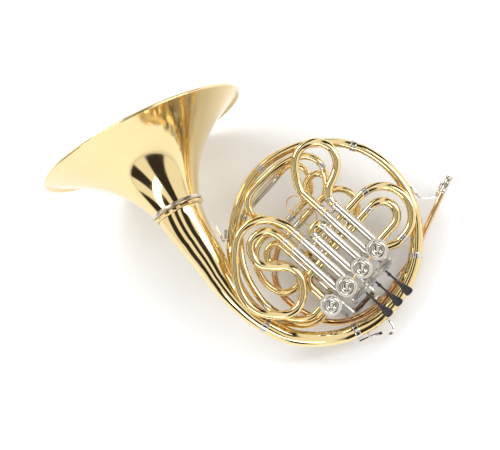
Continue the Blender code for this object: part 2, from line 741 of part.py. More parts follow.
def build_tuning_slides():
    """Both draw up across the body; their wire rings are for pulling them."""
    tube, thin = REAR_TUBE, leg_radius(REAR_TUBE)
    left, right, mouth = -47.7 * MM, 5.7 * MM, -3.5 * MM
    half, middle = (right - left) / 2, (left + right) / 2
    depth = 32 * MM
    mouths = [along(left, mouth, BACK_DECK), along(right, mouth, BACK_DECK)]
    ends = [point - B_AXIS * depth for point in mouths]
    sleeve("main_tuning_sleeve_left", mouths[0], B_AXIS, 40.6 * MM, tube + GAP, "nickel")
    sleeve("main_tuning_sleeve_right", mouths[1], B_AXIS, 40.6 * MM, tube + GAP, "nickel")
    bow = arc(middle, 48.5 * MM, half, 180, 0, BACK_DECK, tube)
    ring = pull_ring("main_ring", along(left + 3.5 * MM, 9 * MM, BACK_DECK + tube))
    main = slide("main_tuning_slide", list(zip(ends, mouths)), bow, thin, tube, (ring,))
    hang(main, joint("main_tuning_draw", mouths[0], B_AXIS))

    outer, inner, high_mouth = -117.5 * MM, -63 * MM, 15 * MM
    mouths = [along(outer, high_mouth, RUN_DECK), along(inner, mouth, BACK_DECK)]
    ends = [mouths[0] - B_AXIS * 32 * MM, mouths[1] - B_AXIS * 12 * MM]
    sleeve("second_tuning_sleeve_left", mouths[0], B_AXIS, 51 * MM, tube + GAP, "nickel")
    sleeve(
        "second_tuning_sleeve_right", mouths[1], B_AXIS, 18.4 * MM, tube + GAP, "nickel",
        plug=2.5 * MM,
    )
    points = [
        along(outer, high_mouth + 1 * MM, RUN_DECK), along(outer, 35 * MM, RUN_DECK),
        deck(-115.5, 45, -16.5 * MM), deck(-108.5, 52.5, -22 * MM), deck(-98, 56, BACK_DECK),
        deck(-87, 54.5, BACK_DECK), deck(-76, 48, BACK_DECK), deck(-67.5, 38, BACK_DECK),
        deck(-63.5, 27, BACK_DECK), along(inner, 18 * MM, BACK_DECK),
        along(inner, mouth + 1 * MM, BACK_DECK),
    ]
    ring = pull_ring("second_ring", along(inner - 9 * MM, 9 * MM, BACK_DECK + tube))
    second = slide(
        "second_tuning_slide", list(zip(ends, mouths)), smooth(points, tube), thin, tube, (ring,)
    )
    hang(second, joint("second_tuning_draw", mouths[0], B_AXIS))


def build_change_elbows():
    points = [
        deck(5.7, -44.5, BACK_DECK), deck(5.7, -49, BACK_DECK), deck(9, -58, BACK_DECK),
        deck(17, -62.8, BACK_DECK), deck(27, -63.8, BACK_DECK), deck(52, -63.8, BACK_DECK),
    ]
    elbow = pipe("change_valve_elbow", smooth(points, REAR_TUBE), "brass", mesh=True)
    cut(elbow, casing_cutter("elbow", 3))


def build_loops():
    """The two round loops over the first valve, one inside the other."""
    centre_a, centre_b = 31.7 * MM, 79.1 * MM
    wide, narrow = 42 * MM, 20.7 * MM
    tube, w = FRONT_TUBE, LOOP_DECK
    low = smooth(
        [
            deck(50, -41.2, MID_DECK), deck(8, -41.2, MID_DECK), deck(-3, -39.5, 3.5 * MM),
            deck(-9, -32, 10 * MM), along(centre_a - wide, -22 * MM, w),
            along(centre_a - wide, -16 * MM, w),
        ],
        tube,
    )
    end = smooth(
        [
            along(centre_a + wide, centre_b - 1 * MM, w), along(centre_a + wide, 72 * MM, w),
            deck(72.8, 64, w), deck(69.8, 57.5, w), deck(66.4, 51.5, w), deck(62, 44, w),
        ],
        tube,
    )
    bow = arc(centre_a, centre_b, wide, 180, 0, w, tube)
    loop = pipe("wide_loop", low + bow + end, "brass", mesh=True)
    cut(loop, casing_cutter("wide_loop", 0), casing_cutter("wide_loop_low", 2))
    low = smooth(
        [
            deck(52, -63.8, w), deck(28, -63.8, w), deck(19, -62, w), deck(12.8, -56, w),
            along(centre_a - narrow, -47 * MM, w), along(centre_a - narrow, -40 * MM, w),
        ],
        tube,
    )
    bow = arc(centre_a, centre_b, narrow, 180, 0, w, tube)
    end = straight(along(centre_a + narrow, 45 * MM, w), radius=tube)
    loop = pipe("narrow_loop", low + bow + end, "brass", mesh=True)
    cut(loop, casing_cutter("narrow_loop", 0), casing_cutter("narrow_loop_low", 3))


# Rotary valves

VALVE_NAMES = ("first", "second", "third", "change")


def build_valve(index):
    name = VALVE_NAMES[index]
    a, b = valve_centre(index)
    centre = along(a, b, 0)
    back = valve_back(index)
    hole = SPINDLE_RADIUS + ROTOR_PLAY
    profile = [
        (CASING_BORE, CASING_FRONT), (CASING_RADIUS, CASING_FRONT), (CASING_RADIUS, back),
        (hole, back), (hole, back + END_WALL), (CASING_BORE, back + END_WALL),
    ]
    turned(f"{name}_casing", profile, "nickel", centre, W_AXIS)
    low = CASING_FRONT + GAP
    top = low + CAP_HEIGHT
    cap = [
        (0, top - 3.6 * MM), (4.2 * MM, top - 3.2 * MM), (6.2 * MM, top - 0.8 * MM),
        (9.5 * MM, top), (CAP_RADIUS - 1 * MM, top - 0.8 * MM), (CAP_RADIUS, top - 2.4 * MM),
        (CAP_RADIUS, low), (0, low),
    ]
    turned(f"{name}_cap", cap, "nickel", centre, W_AXIS)
    thumb = index == 3
    crank = THUMB_CRANK if thumb else CRANK_RADIUS
    rotor_radius = CASING_BORE - ROTOR_PLAY
    front = CASING_FRONT - 1.2 * MM
    inside = back + END_WALL + GAP
    arm_top = back - ARM_STANDOFF
    arm_low = arm_top - ARM_THICKNESS
    profile = [
        (0, front), (rotor_radius, front), (rotor_radius, inside), (SPINDLE_RADIUS, inside),
        (SPINDLE_RADIUS, arm_low), (0, arm_low),
    ]
    rotor = turned(f"{name}_rotor", profile, "nickel", centre, W_AXIS)
    side = -1 if thumb else 1
    across = side * crank * math.sin(ROTOR_TURN / 2)
    beside = crank * math.cos(ROTOR_TURN / 2) * (1 if thumb else -1)
    pin = along(a + across, b + beside, 0)
    reach = (pin - centre).normalized()
    square = Vector((-reach.y, reach.x, 0))
    half = 2.3 * MM
    outline = [
        centre - reach * half + square * half, centre - reach * half - square * half,
        pin + reach * half - square * half, pin + reach * half + square * half,
    ]
    arm = plate(f"{name}_arm", outline, ARM_THICKNESS - 0.4 * MM, (arm_top + arm_low) / 2)
    pin_low = arm_low - LINK_DROP - LINK_THICKNESS - 0.8 * MM
    ends = (pin + W_AXIS * (arm_top - 1 * MM), pin + W_AXIS * pin_low)
    join(rotor, arm, pipe(f"{name}_pin", straight(*ends, radius=PIN_RADIUS), mesh=True))
    hang(rotor, joint(f"{name}_rotor_turn", along(a, b, inside), W_AXIS))
    return pin, arm_low - LINK_DROP - LINK_THICKNESS / 2


def hub(name, centre_a, w, low_b, high_b, finish=None):
    """A lever's tube on its hinge rod, along b."""
    bore = ROD_RADIUS + GAP
    wide = bore + HUB_WALL
    length = high_b - low_b
    profile = [(bore, length), (wide, length), (wide, 0), (bore, 0)]
    return turned(name, profile, finish, along(centre_a, low_b, w), B_AXIS, 12)


def build_link(name, empty, pin_a, crank_a, link_b, slot_half, w):
    """The link lies along a. Its slot is the linkage's open pivot."""
    toward = 1 if pin_a > crank_a else -1
    barrel_bore, barrel_wide, barrel_half = PIN_RADIUS + GAP, PIN_RADIUS + GAP + 1.5 * MM, 2.2 * MM
    start = pin_a - toward * (barrel_bore + 0.6 * MM)
    slot_a, rim = PIN_RADIUS + 0.75 * MM, 1.7 * MM
    far = crank_a - toward * (slot_a + rim)
    near = crank_a + toward * (slot_a + rim + 1 * MM)
    wide, thin = slot_half + rim, 2 * MM
    outline = [
        along(start, link_b - thin, 0), along(near, link_b - thin, 0),
        along(crank_a + toward * slot_a, link_b - wide, 0), along(far, link_b - wide, 0),
        along(far, link_b + wide, 0), along(crank_a + toward * slot_a, link_b + wide, 0),
        along(near, link_b + thin, 0), along(start, link_b + thin, 0),
    ]
    hole = [
        along(crank_a - slot_a, link_b - slot_half, 0), along(crank_a + slot_a, link_b - slot_half, 0),
        along(crank_a + slot_a, link_b + slot_half, 0), along(crank_a - slot_a, link_b + slot_half, 0),
    ]
    made = plate(name, outline, LINK_THICKNESS, w, (hole,), "steel")
    profile = [
        (barrel_bore, 2 * barrel_half), (barrel_wide, 2 * barrel_half), (barrel_wide, 0),
        (barrel_bore, 0),
    ]
    barrel = turned(
        f"{name}_barrel", profile, None, along(pin_a, link_b - barrel_half, w), B_AXIS, 12
    )
    join(made, barrel)
    hang(made, empty)


def build_lever(index):
    """A finger lever with its hub, paddle and drive arm, and the link to its rotor."""
    name = VALVE_NAMES[index]
    crank_pin, link_w = build_valve(index)
    a, b = valve_centre(index)
    lean = LEVER_SWING / 2
    throw = CRANK_RADIUS * math.sin(ROTOR_TURN / 2)
    arm_length = throw / math.sin(lean)
    drop = arm_length * math.cos(lean)
    link_w = HINGE_W - drop
    lever_b = LEVER_B - LEVER_PITCH * index
    link_b = b - CRANK_RADIUS * (1 + math.cos(ROTOR_TURN / 2)) / 2
    slot_half = CRANK_RADIUS * (1 - math.cos(ROTOR_TURN / 2)) / 2 + PIN_RADIUS + 0.5 * MM
    arm_b = link_b + 4.6 * MM
    low_b = min(lever_b, arm_b) - 2.6 * MM
    high_b = max(lever_b, arm_b) + 2.6 * MM
    lever = hub(f"{name}_lever", HINGE_A, HINGE_W, low_b, high_b, "black")
    grip = ROD_RADIUS + GAP + 0.6 * MM
    tip = HINGE_A + LEVER_REACH
    half = PADDLE_WIDTH / 2
    shape = [
        (HINGE_A + grip, 1.5 * MM), (HINGE_A + 22 * MM, 1.5 * MM), (HINGE_A + 31 * MM, 2.6 * MM),
        (tip - 11 * MM, 5.2 * MM), (tip - 4 * MM, half), (tip - 1.2 * MM, half - 1 * MM),
        (tip, half - 3.5 * MM),
    ]
    outline = [along(x, lever_b + y, 0) for x, y in shape]
    outline += [along(x, lever_b - y, 0) for x, y in reversed(shape)]
    paddle = plate(f"{name}_paddle", outline, PADDLE_THICKNESS, HINGE_W + 0.8 * MM)
    top = along(HINGE_A + grip * math.sin(lean), arm_b, HINGE_W - grip * math.cos(lean))
    pin_a = HINGE_A + throw
    end = along(pin_a, arm_b, link_w)
    arm = pipe(f"{name}_drive", straight(top, end, radius=WIRE_RADIUS), mesh=True)
    pin_ends = (end + B_AXIS * 1.2 * MM, along(pin_a, link_b - 3.2 * MM, link_w))
    pin = pipe(f"{name}_drive_pin", straight(*pin_ends, radius=PIN_RADIUS), mesh=True)
    join(lever, paddle, arm, pin)
    lever_joint = joint(f"{name}_lever_press", along(HINGE_A, lever_b, HINGE_W), B_AXIS)
    hang(lever, lever_joint)
    link_joint = joint(
        f"{name}_link_turn", along(pin_a, link_b, link_w), B_AXIS, lever_joint
    )
    build_link(f"{name}_link", link_joint, pin_a, a + throw, link_b, slot_half, link_w)
    return low_b, high_b


def build_finger_hinge(spans):
    """The rod that carries the three levers, on a bracket fixed to the casings."""
    low, high = spans[2][0] - 4.5 * MM, spans[0][1] + 4.5 * MM
    rail_a = HINGE_A - 6.4 * MM
    ends = (along(HINGE_A, low, HINGE_W), along(HINGE_A, high, HINGE_W))
    bracket = pipe("lever_bracket", straight(*ends, radius=ROD_RADIUS), "steel", mesh=True)
    rail_ends = (along(rail_a, low + 0.5 * MM, HINGE_W), along(rail_a, high - 0.5 * MM, HINGE_W))
    join(bracket, pipe("bracket_rail", straight(*rail_ends, radius=1.7 * MM), mesh=True))
    stops = [
        low + 2.2 * MM, (spans[2][1] + spans[1][0]) / 2,
        (spans[1][1] + spans[0][0]) / 2, high - 2.2 * MM,
    ]
    for place, b in enumerate(stops):
        ends = (along(rail_a, b, HINGE_W), along(HINGE_A, b, HINGE_W))
        join(bracket, pipe(f"bracket_neck_{place}", straight(*ends, radius=1.1 * MM), mesh=True))
    for index in range(3):
        a, b = valve_centre(index)
        ends = (along(a + 6 * MM, b, HINGE_W), along(rail_a, b, HINGE_W))
        foot = pipe(f"bracket_foot_{index}", straight(*ends, radius=1.3 * MM), mesh=True)
        join(bracket, foot)
    for index in range(3):
        cut(bracket, casing_cutter(f"bracket_{index}", index))


def build_thumb_lever():
    crank_pin, link_w = build_valve(3)
    a, b = valve_centre(3)
    throw = THUMB_CRANK * math.sin(ROTOR_TURN / 2)
    drop = THUMB_W - link_w
    lean = math.atan(throw / drop)
    link_b = b + THUMB_CRANK * (1 + math.cos(ROTOR_TURN / 2)) / 2
    slot_half = THUMB_CRANK * (1 - math.cos(ROTOR_TURN / 2)) / 2 + PIN_RADIUS + 0.5 * MM
    low_b, high_b = THUMB_ARM_B - 2.4 * MM, -10 * MM
    lever = hub("thumb_lever", THUMB_A, THUMB_W, low_b, high_b, "black")
    grip = ROD_RADIUS + GAP + 0.6 * MM
    pin_a = THUMB_A - throw
    top = along(THUMB_A - grip * math.sin(lean), THUMB_ARM_B, THUMB_W - grip * math.cos(lean))
    end = along(pin_a, THUMB_ARM_B, link_w)
    arm = pipe("thumb_drive", straight(top, end, radius=WIRE_RADIUS), mesh=True)
    pin_ends = (end + B_AXIS * 1.2 * MM, along(pin_a, link_b - 3.2 * MM, link_w))
    pin = pipe("thumb_drive_pin", straight(*pin_ends, radius=PIN_RADIUS), mesh=True)
    stem_points = [
        along(THUMB_A + grip * 0.7, -14 * MM, THUMB_W - grip * 0.7), deck(100.5, -14, -18 * MM),
        deck(103, -14, -25 * MM), deck(107, -14, -28 * MM), deck(112, -14, -28 * MM),
    ]
    stem = pipe("thumb_stem", smooth(stem_points, 1.6 * MM), mesh=True)
    corners = ((106, -19), (108, -21), (120, -21), (122.5, -18), (122.5, -10), (120, -7), (108, -7), (106, -9))
    pad = plate("thumb_pad", [deck(x, y, 0) for x, y in corners], 2 * MM, -28 * MM)
    join(lever, arm, pin, stem, pad)
    lever_joint = joint("thumb_lever_press", along(THUMB_A, THUMB_ARM_B, THUMB_W), -B_AXIS)
    hang(lever, lever_joint)
    link_joint = joint("thumb_link_turn", along(pin_a, link_b, link_w), -B_AXIS, lever_joint)
    build_link("thumb_link", link_joint, pin_a, a - throw, link_b, slot_half, link_w)
    rod_low, rod_high = low_b - 4 * MM, high_b + 4 * MM
    rod = [along(THUMB_A, rod_low, THUMB_W), along(THUMB_A, rod_high, THUMB_W)]
    frame = pipe("thumb_hinge_frame", straight(*rod, radius=ROD_RADIUS), "nickel", mesh=True)
    for place, (foot_b, valve) in enumerate(((rod_low + 1.5 * MM, 3), (rod_high - 1.5 * MM, 1))):
        foot_a = valve_centre(valve)[0] + 4 * MM
        ends = (along(THUMB_A, foot_b, THUMB_W), along(foot_a, foot_b, THUMB_W))
        join(frame, pipe(f"thumb_foot_{place}", straight(*ends, radius=1.5 * MM), mesh=True))
        cut(frame, casing_cutter(f"thumb_foot_{place}", valve))


# Small fittings

def build_water_key():
    """A sprung lever on a post on the lower side of the main branch."""
    angle = math.radians(-66)
    outward = Vector((math.cos(angle), math.sin(angle), 0))
    forward = Vector((-outward.y, outward.x, 0))
    surface = 142.7 * MM
    pivot = outward * (surface + 5.2 * MM) + W_AXIS * BODY_DECK
    half = 3.6 * MM
    saddle = pipe(
        "water_key_post",
        straight(pivot - W_AXIS * half, pivot + W_AXIS * half, radius=0.8 * MM), "nickel", mesh=True,
    )
    for side in (-1, 1):
        top = pivot + W_AXIS * side * half
        foot = outward * (surface - 0.2 * MM) + W_AXIS * (BODY_DECK + side * half)
        join(saddle, pipe(f"key_ear_{side + 1}", straight(foot, top, radius=1.1 * MM), mesh=True))
    bore = 0.8 * MM + GAP
    profile = [(bore, 4.4 * MM), (bore + 1.1 * MM, 4.4 * MM), (bore + 1.1 * MM, 0), (bore, 0)]
    key = turned("water_key", profile, "nickel", pivot - W_AXIS * 2.2 * MM, W_AXIS, 12)
    reach = bore + 0.5 * MM
    back_arm = smooth(
        [
            pivot - forward * reach, pivot - forward * 4 * MM, pivot - forward * 11 * MM,
            pivot - forward * 16 * MM, pivot - forward * 18.5 * MM,
        ],
        [1.1 * MM, 1.1 * MM, 1.1 * MM, 1.5 * MM, 2 * MM],
    )
    front_arm = smooth(
        [
            pivot + forward * reach, pivot + forward * 4 * MM,
            pivot + forward * 9 * MM + outward * 1.6 * MM,
            pivot + forward * 14 * MM + outward * 2.4 * MM,
            pivot + forward * 18 * MM + outward * 2 * MM,
        ],
        [1.1 * MM, 1.1 * MM, 1.5 * MM, 2.4 * MM, 2.4 * MM],
    )
    join(key, pipe("key_back", back_arm, mesh=True), pipe("key_front", front_arm, mesh=True))
    hang(key, joint("water_key_turn", pivot, W_AXIS))


def build_finger_hook():
    points = [
        body(87.3, -111.8, BODY_DECK), body(89.2, -114.2, BODY_DECK), body(93, -120, -1 * MM),
        body(94, -126, 0), body(91, -130.5, 1 * MM), body(87.5, -131.5, 1.5 * MM),
    ]
    radii = [2.6 * MM, 1.6 * MM, 1.6 * MM, 1.6 * MM, 2.6 * MM, 2.2 * MM]
    pipe("finger_hook", smooth(points, radii), "nickel")


# Laying the horn down

def world_triangles():
    """Corners and triangles of every finished part, as they stand."""
    graph = bpy.context.evaluated_depsgraph_get()
    corners, triangles, count = [], [], 0
    for obj in horn_parts.objects:
        if obj.type not in ("MESH", "CURVE"):
            continue
        evaluated = obj.evaluated_get(graph)
        mesh = evaluated.to_mesh()
        mesh.calc_loop_triangles()
        spots = np.empty(len(mesh.vertices) * 3, np.float32)
        mesh.vertices.foreach_get("co", spots)
        faces = np.empty(len(mesh.loop_triangles) * 3, np.int32)
        mesh.loop_triangles.foreach_get("vertices", faces)
        world = np.array(evaluated.matrix_world)
        corners.append(spots.reshape(-1, 3) @ world[:3, :3].T + world[:3, 3])
        triangles.append(faces.reshape(-1, 3) + count)
        count += len(mesh.vertices)
        evaluated.to_mesh_clear()
    return np.concatenate(corners), np.concatenate(triangles)


def centre_of_mass(corners, triangles):
    a, b, c = (corners[triangles[:, i]] for i in range(3))
    volumes = np.einsum("ij,ij->i", a, np.cross(b, c))
    return ((a + b + c) / 4 * volumes[:, None]).sum(axis=0) / volumes.sum()


def resting_normal(corners, centre):
    """The way down when the horn lies still: the hull face under its centre of mass.

    From straight down in the body's plane it rolls onto the face that its centre of mass
    hangs over, and again, until that face stays the same.
    """
    made = bmesh.new()
    for corner in corners:
        made.verts.new(corner)
    hull = bmesh.ops.convex_hull(made, input=made.verts)["geom"]
    faces = [item for item in hull if isinstance(item, bmesh.types.BMFace)]
    inside = Vector(centre)
    down = Vector((0, 0, -1))
    for _ in range(20):
        found = down
        for face in faces:
            spots = [vert.co - inside for vert in face.verts]
            normal = (spots[1] - spots[0]).cross(spots[2] - spots[0])
            if normal.dot(spots[0]) < 0:
                normal.negate()
                spots.reverse()
            facing = normal.dot(down)
            if normal.length < 1e-12 or facing <= 0:
                continue
            hit = down * (normal.dot(spots[0]) / facing)
            ring = zip(spots, spots[1:] + spots[:1])
            if all((q - p).cross(hit - p).dot(normal) >= -1e-12 for p, q in ring):
                found = normal.normalized()
        if (found - down).length < 1e-6:
            break
        down = found
    made.free()
    return down


def lay_down():
    bpy.context.view_layer.update()
    corners, triangles = world_triangles()
    up = -resting_normal(corners, centre_of_mass(corners, triangles))
    across = Vector((1, 0, 0)) - up * up.x
    across.normalize()
    turn = Matrix((across, up.cross(across), up))
    laid = corners @ np.array(turn).T
    low, high = laid.min(axis=0), laid.max(axis=0)
    shift = Vector((-(low[0] + high[0]) / 2, -(low[1] + high[1]) / 2, -low[2]))
    horn.matrix_basis = Matrix.Translation(shift) @ turn.to_4x4()


build_bell()
build_tail()
build_main_branch()
build_outer_return()
build_left_run()
build_second_run()
build_leadpipe()
build_bell_brace()
build_front_slides()
build_rear_slides()
build_tuning_slides()
build_change_elbows()
build_loops()
build_finger_hinge([build_lever(index) for index in range(3)])
build_thumb_lever()
build_water_key()
build_finger_hook()
lay_down()
bpy.context.view_layer.update()
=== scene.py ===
import json
import math

import bpy
import numpy as np
from mathutils import Matrix, Vector


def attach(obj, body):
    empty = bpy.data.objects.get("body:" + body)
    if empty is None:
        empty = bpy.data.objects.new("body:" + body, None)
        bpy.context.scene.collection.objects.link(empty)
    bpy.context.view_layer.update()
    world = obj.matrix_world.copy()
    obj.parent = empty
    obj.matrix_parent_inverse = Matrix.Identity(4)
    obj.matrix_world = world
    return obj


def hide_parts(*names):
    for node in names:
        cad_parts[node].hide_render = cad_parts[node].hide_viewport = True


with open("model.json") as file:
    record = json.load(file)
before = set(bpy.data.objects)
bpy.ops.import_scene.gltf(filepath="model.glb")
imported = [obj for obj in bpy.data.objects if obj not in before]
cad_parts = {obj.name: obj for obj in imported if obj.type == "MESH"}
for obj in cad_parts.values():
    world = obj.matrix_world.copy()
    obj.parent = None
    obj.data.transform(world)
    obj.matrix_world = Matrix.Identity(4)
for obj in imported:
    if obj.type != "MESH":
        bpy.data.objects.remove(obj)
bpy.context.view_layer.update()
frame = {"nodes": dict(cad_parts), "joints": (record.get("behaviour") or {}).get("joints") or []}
print("frame loaded")

mm = 0.001  # lengths below are in mm where nothing else is said
slideTurn = math.radians(-42)  # the slides' direction, turned from the body's own right

# The horn's own axes, from the joints: a along the slides, b across them, w to the caps
joints = {joint["name"]: joint for joint in frame["joints"]}
axisW = np.array(joints["first_rotor_turn"]["axis"])
axisA = -np.array(joints["first_front_draw"]["axis"])
axisB = np.cross(axisW, axisA)
axisU = math.cos(slideTurn) * axisA - math.sin(slideTurn) * axisB
axisV = math.sin(slideTurn) * axisA + math.cos(slideTurn) * axisB
firstRotor = {"a": 56.4, "b": 37.7, "w": -16.7}  # mm, where the first rotor's joint lies
bodyOrigin = np.array(joints["first_rotor_turn"]["pos_m"]) - mm * (
    firstRotor["a"] * axisA + firstRotor["b"] * axisB + firstRotor["w"] * axisW
)


def ab(*points):
    # World places of points given along and across the slides, and up, in mm.
    return bodyOrigin + mm * (np.array(points, float) @ np.array([axisA, axisB, axisW]))


def uv(*points):
    # World places of points given right, up the body and towards the caps, in mm.
    return bodyOrigin + mm * (np.array(points, float) @ np.array([axisU, axisV, axisW]))


# Materials

wear = {
    "Cloud": {"factor": 1, "detail": 4, "rough": 0.55},  # tarnish, at the finish's own scale
    "Smudge": {"factor": 4.5, "detail": 6, "rough": 0.62},  # fingers
    "Lines": {"factor": 40, "detail": 3, "rough": 0.7},  # polishing
}
wearLow, wearHigh = 0.32, 0.70  # the part of the noise that is spread over 0 to 1
linesDeep, coatRough = 0.0002, 0.06  # the relief's depth in m, the lacquer's own roughness
wearGroup = bpy.data.node_groups.new("handledMetal", "ShaderNodeTree")


def buildWearGroup():
    # Each kind of wear is a noise over the object's own places, with its contrast raised.
    tree = wearGroup
    for name, kind in (("Vector", "NodeSocketVector"), ("Scale", "NodeSocketFloat")):
        tree.interface.new_socket(name, in_out="INPUT", socket_type=kind)
    for name in wear:
        tree.interface.new_socket(name, in_out="OUTPUT", socket_type="NodeSocketFloat")
    entry = tree.nodes.new("NodeGroupInput")
    leave = tree.nodes.new("NodeGroupOutput")
    for name, layer in wear.items():
        scale = tree.nodes.new("ShaderNodeMath")
        scale.operation = "MULTIPLY"
        scale.inputs[1].default_value = layer["factor"]
        noise = tree.nodes.new("ShaderNodeTexNoise")
        noise.inputs["Detail"].default_value = layer["detail"]
        noise.inputs["Roughness"].default_value = layer["rough"]
        sharpen = tree.nodes.new("ShaderNodeMapRange")
        sharpen.inputs["From Min"].default_value = wearLow
        sharpen.inputs["From Max"].default_value = wearHigh
        tree.links.new(entry.outputs["Scale"], scale.inputs[0])
        tree.links.new(entry.outputs["Vector"], noise.inputs["Vector"])
        tree.links.new(scale.outputs[0], noise.inputs["Scale"])
        tree.links.new(noise.outputs["Fac"], sharpen.inputs["Value"])
        tree.links.new(sharpen.outputs["Result"], leave.inputs[name])


buildWearGroup()


def makeFinish(name, look):
    # A surface whose colour, gloss and fine relief all vary with the wear group.
    material = bpy.data.materials.new(name)
    material.use_nodes = True
    nodes, links = material.node_tree.nodes, material.node_tree.links
    shader = nodes["Principled BSDF"]
    places = nodes.new("ShaderNodeTexCoord")
    use = nodes.new("ShaderNodeGroup")
    use.node_tree = wearGroup
    use.inputs["Scale"].default_value = look["scale"]
    links.new(places.outputs["Object"], use.inputs["Vector"])
    tint = nodes.new("ShaderNodeMix")
    tint.data_type = "RGBA"
    tint.inputs["A"].default_value = (*look["color"], 1)
    tint.inputs["B"].default_value = (*look["tarnish"], 1)
    links.new(use.outputs["Cloud"], tint.inputs["Factor"])
    links.new(tint.outputs["Result"], shader.inputs["Base Color"])
    gloss = nodes.new("ShaderNodeMapRange")
    gloss.inputs["To Min"].default_value = look["rough"][0]
    gloss.inputs["To Max"].default_value = look["rough"][1]
    links.new(use.outputs["Smudge"], gloss.inputs["Value"])
    links.new(gloss.outputs["Result"], shader.inputs["Roughness"])
    bump = nodes.new("ShaderNodeBump")
    bump.inputs["Strength"].default_value = look["relief"]
    bump.inputs["Distance"].default_value = linesDeep
    links.new(use.outputs["Lines"], bump.inputs["Height"])
    links.new(bump.outputs["Normal"], shader.inputs["Normal"])
    shader.inputs["Metallic"].default_value = look["metal"]
    shader.inputs["Coat Weight"].default_value = look["coat"]
    shader.inputs["Coat Roughness"].default_value = coatRough
    return material


looks = {
    "lacqueredBrass": dict(color=(0.90, 0.72, 0.38), tarnish=(0.83, 0.62, 0.28), scale=14,
                           rough=(0.06, 0.12), relief=0.03, metal=1, coat=0.35),
    "bellBrass": dict(color=(0.91, 0.74, 0.40), tarnish=(0.86, 0.66, 0.32), scale=8,
                      rough=(0.05, 0.11), relief=0.03, metal=1, coat=0.35),
    "roseBrass": dict(color=(0.86, 0.60, 0.34), tarnish=(0.76, 0.46, 0.24), scale=18,
                      rough=(0.07, 0.14), relief=0.05, metal=1, coat=0.3),
    "nickelSilver": dict(color=(0.76, 0.73, 0.67), tarnish=(0.64, 0.59, 0.50), scale=22,
                         rough=(0.07, 0.16), relief=0.06, metal=1, coat=0.1),
    "turnedSteel": dict(color=(0.55, 0.55, 0.56), tarnish=(0.42, 0.41, 0.40), scale=40,
                        rough=(0.22, 0.38), relief=0.15, metal=1, coat=0),
    "blackLacquer": dict(color=(0.012, 0.012, 0.014), tarnish=(0.028, 0.026, 0.026), scale=30,
                         rough=(0.22, 0.38), relief=0.08, metal=0, coat=0.15),
    "corkBumper": dict(color=(0.33, 0.20, 0.11), tarnish=(0.16, 0.09, 0.05), scale=160,
                       rough=(0.75, 0.95), relief=0.9, metal=0, coat=0),
}
finishes = {name: makeFinish(name, look) for name, look in looks.items()}
print("finishes made")


# Surfaces

creaseAngle = math.radians(38)  # edges that turn more than this stay sharp
aside = {"path": (0.3, 0.2, 0.93), "lathe": (0.31, 0.2, 0.93)}  # sets each ring's first point


def meshFromGrids(name, grids, finish, body="horn", replaced=()):
    # Neighbouring rings are joined by quads, and the two end rings are closed by fans.
    # A grid whose last ring is its first again is a wall closed on itself, with no fans.
    points, loops, sizes, count = [], [], [], 0
    for rings in grids:
        around = np.allclose(rings[0], rings[-1], atol=1e-9)
        rings = rings[:-1] if around else rings
        rows, sides = rings.shape[:2]
        here = np.arange(rows * sides).reshape(rows, sides)
        here = np.vstack([here, here[:1]]) if around else here
        after = np.roll(here, -1, axis=1)
        quads = np.stack([here[:-1], after[:-1], after[1:], here[1:]], axis=-1).reshape(-1, 4)
        if around:
            points.append(rings.reshape(-1, 3))
            loops.append((quads + count).ravel())
            sizes.append(np.full(len(quads), 4))
            count += rows * sides
            continue
        middles = np.array([rings[0].mean(axis=0), rings[-1].mean(axis=0)])
        first, last = rows * sides, rows * sides + 1
        start = np.stack([np.full(sides, first), after[0], here[0]], axis=-1)
        end = np.stack([np.full(sides, last), here[-1], after[-1]], axis=-1)
        points.append(np.vstack([rings.reshape(-1, 3), middles]))
        loops += [(quads + count).ravel(), (np.vstack([start, end]) + count).ravel()]
        sizes += [np.full(len(quads), 4), np.full(2 * sides, 3)]
        count += rows * sides + 2
    points, loops, sizes = np.vstack(points), np.concatenate(loops), np.concatenate(sizes)
    mesh = bpy.data.meshes.new(name)
    mesh.vertices.add(len(points))
    mesh.vertices.foreach_set("co", points.astype(np.float32).ravel())
    mesh.loops.add(len(loops))
    mesh.loops.foreach_set("vertex_index", loops.astype(np.int32))
    mesh.polygons.add(len(sizes))
    starts = np.concatenate([[0], np.cumsum(sizes)[:-1]])
    mesh.polygons.foreach_set("loop_start", starts.astype(np.int32))
    mesh.update(calc_edges=True)
    mesh.validate()
    mesh.shade_smooth()
    mesh.set_sharp_from_angle(angle=creaseAngle)
    piece = bpy.data.objects.new(name, mesh)
    bpy.context.scene.collection.objects.link(piece)
    mesh.materials.append(finishes[finish])
    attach(piece, body)
    if replaced:
        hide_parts(*replaced)
    return piece


def ringsAlong(centres, radii, sides=28):
    # Circles of the given radii square to a path, turned as little as can be.
    ways = np.gradient(centres, axis=0)
    ways /= np.linalg.norm(ways, axis=1)[:, None]
    across = np.cross(ways[0], aside["path"])
    normals = []
    for way in ways:
        across = across - way * (across @ way)
        across = across / np.linalg.norm(across)
        normals.append(across)
    normals = np.array(normals)
    others = np.cross(ways, normals)
    angles = np.linspace(0, 2 * np.pi, sides, endpoint=False)
    cosine, sine = np.cos(angles)[None, :, None], np.sin(angles)[None, :, None]
    circle = cosine * normals[:, None] + sine * others[:, None]
    return centres[:, None] + circle * np.asarray(radii)[:, None, None]


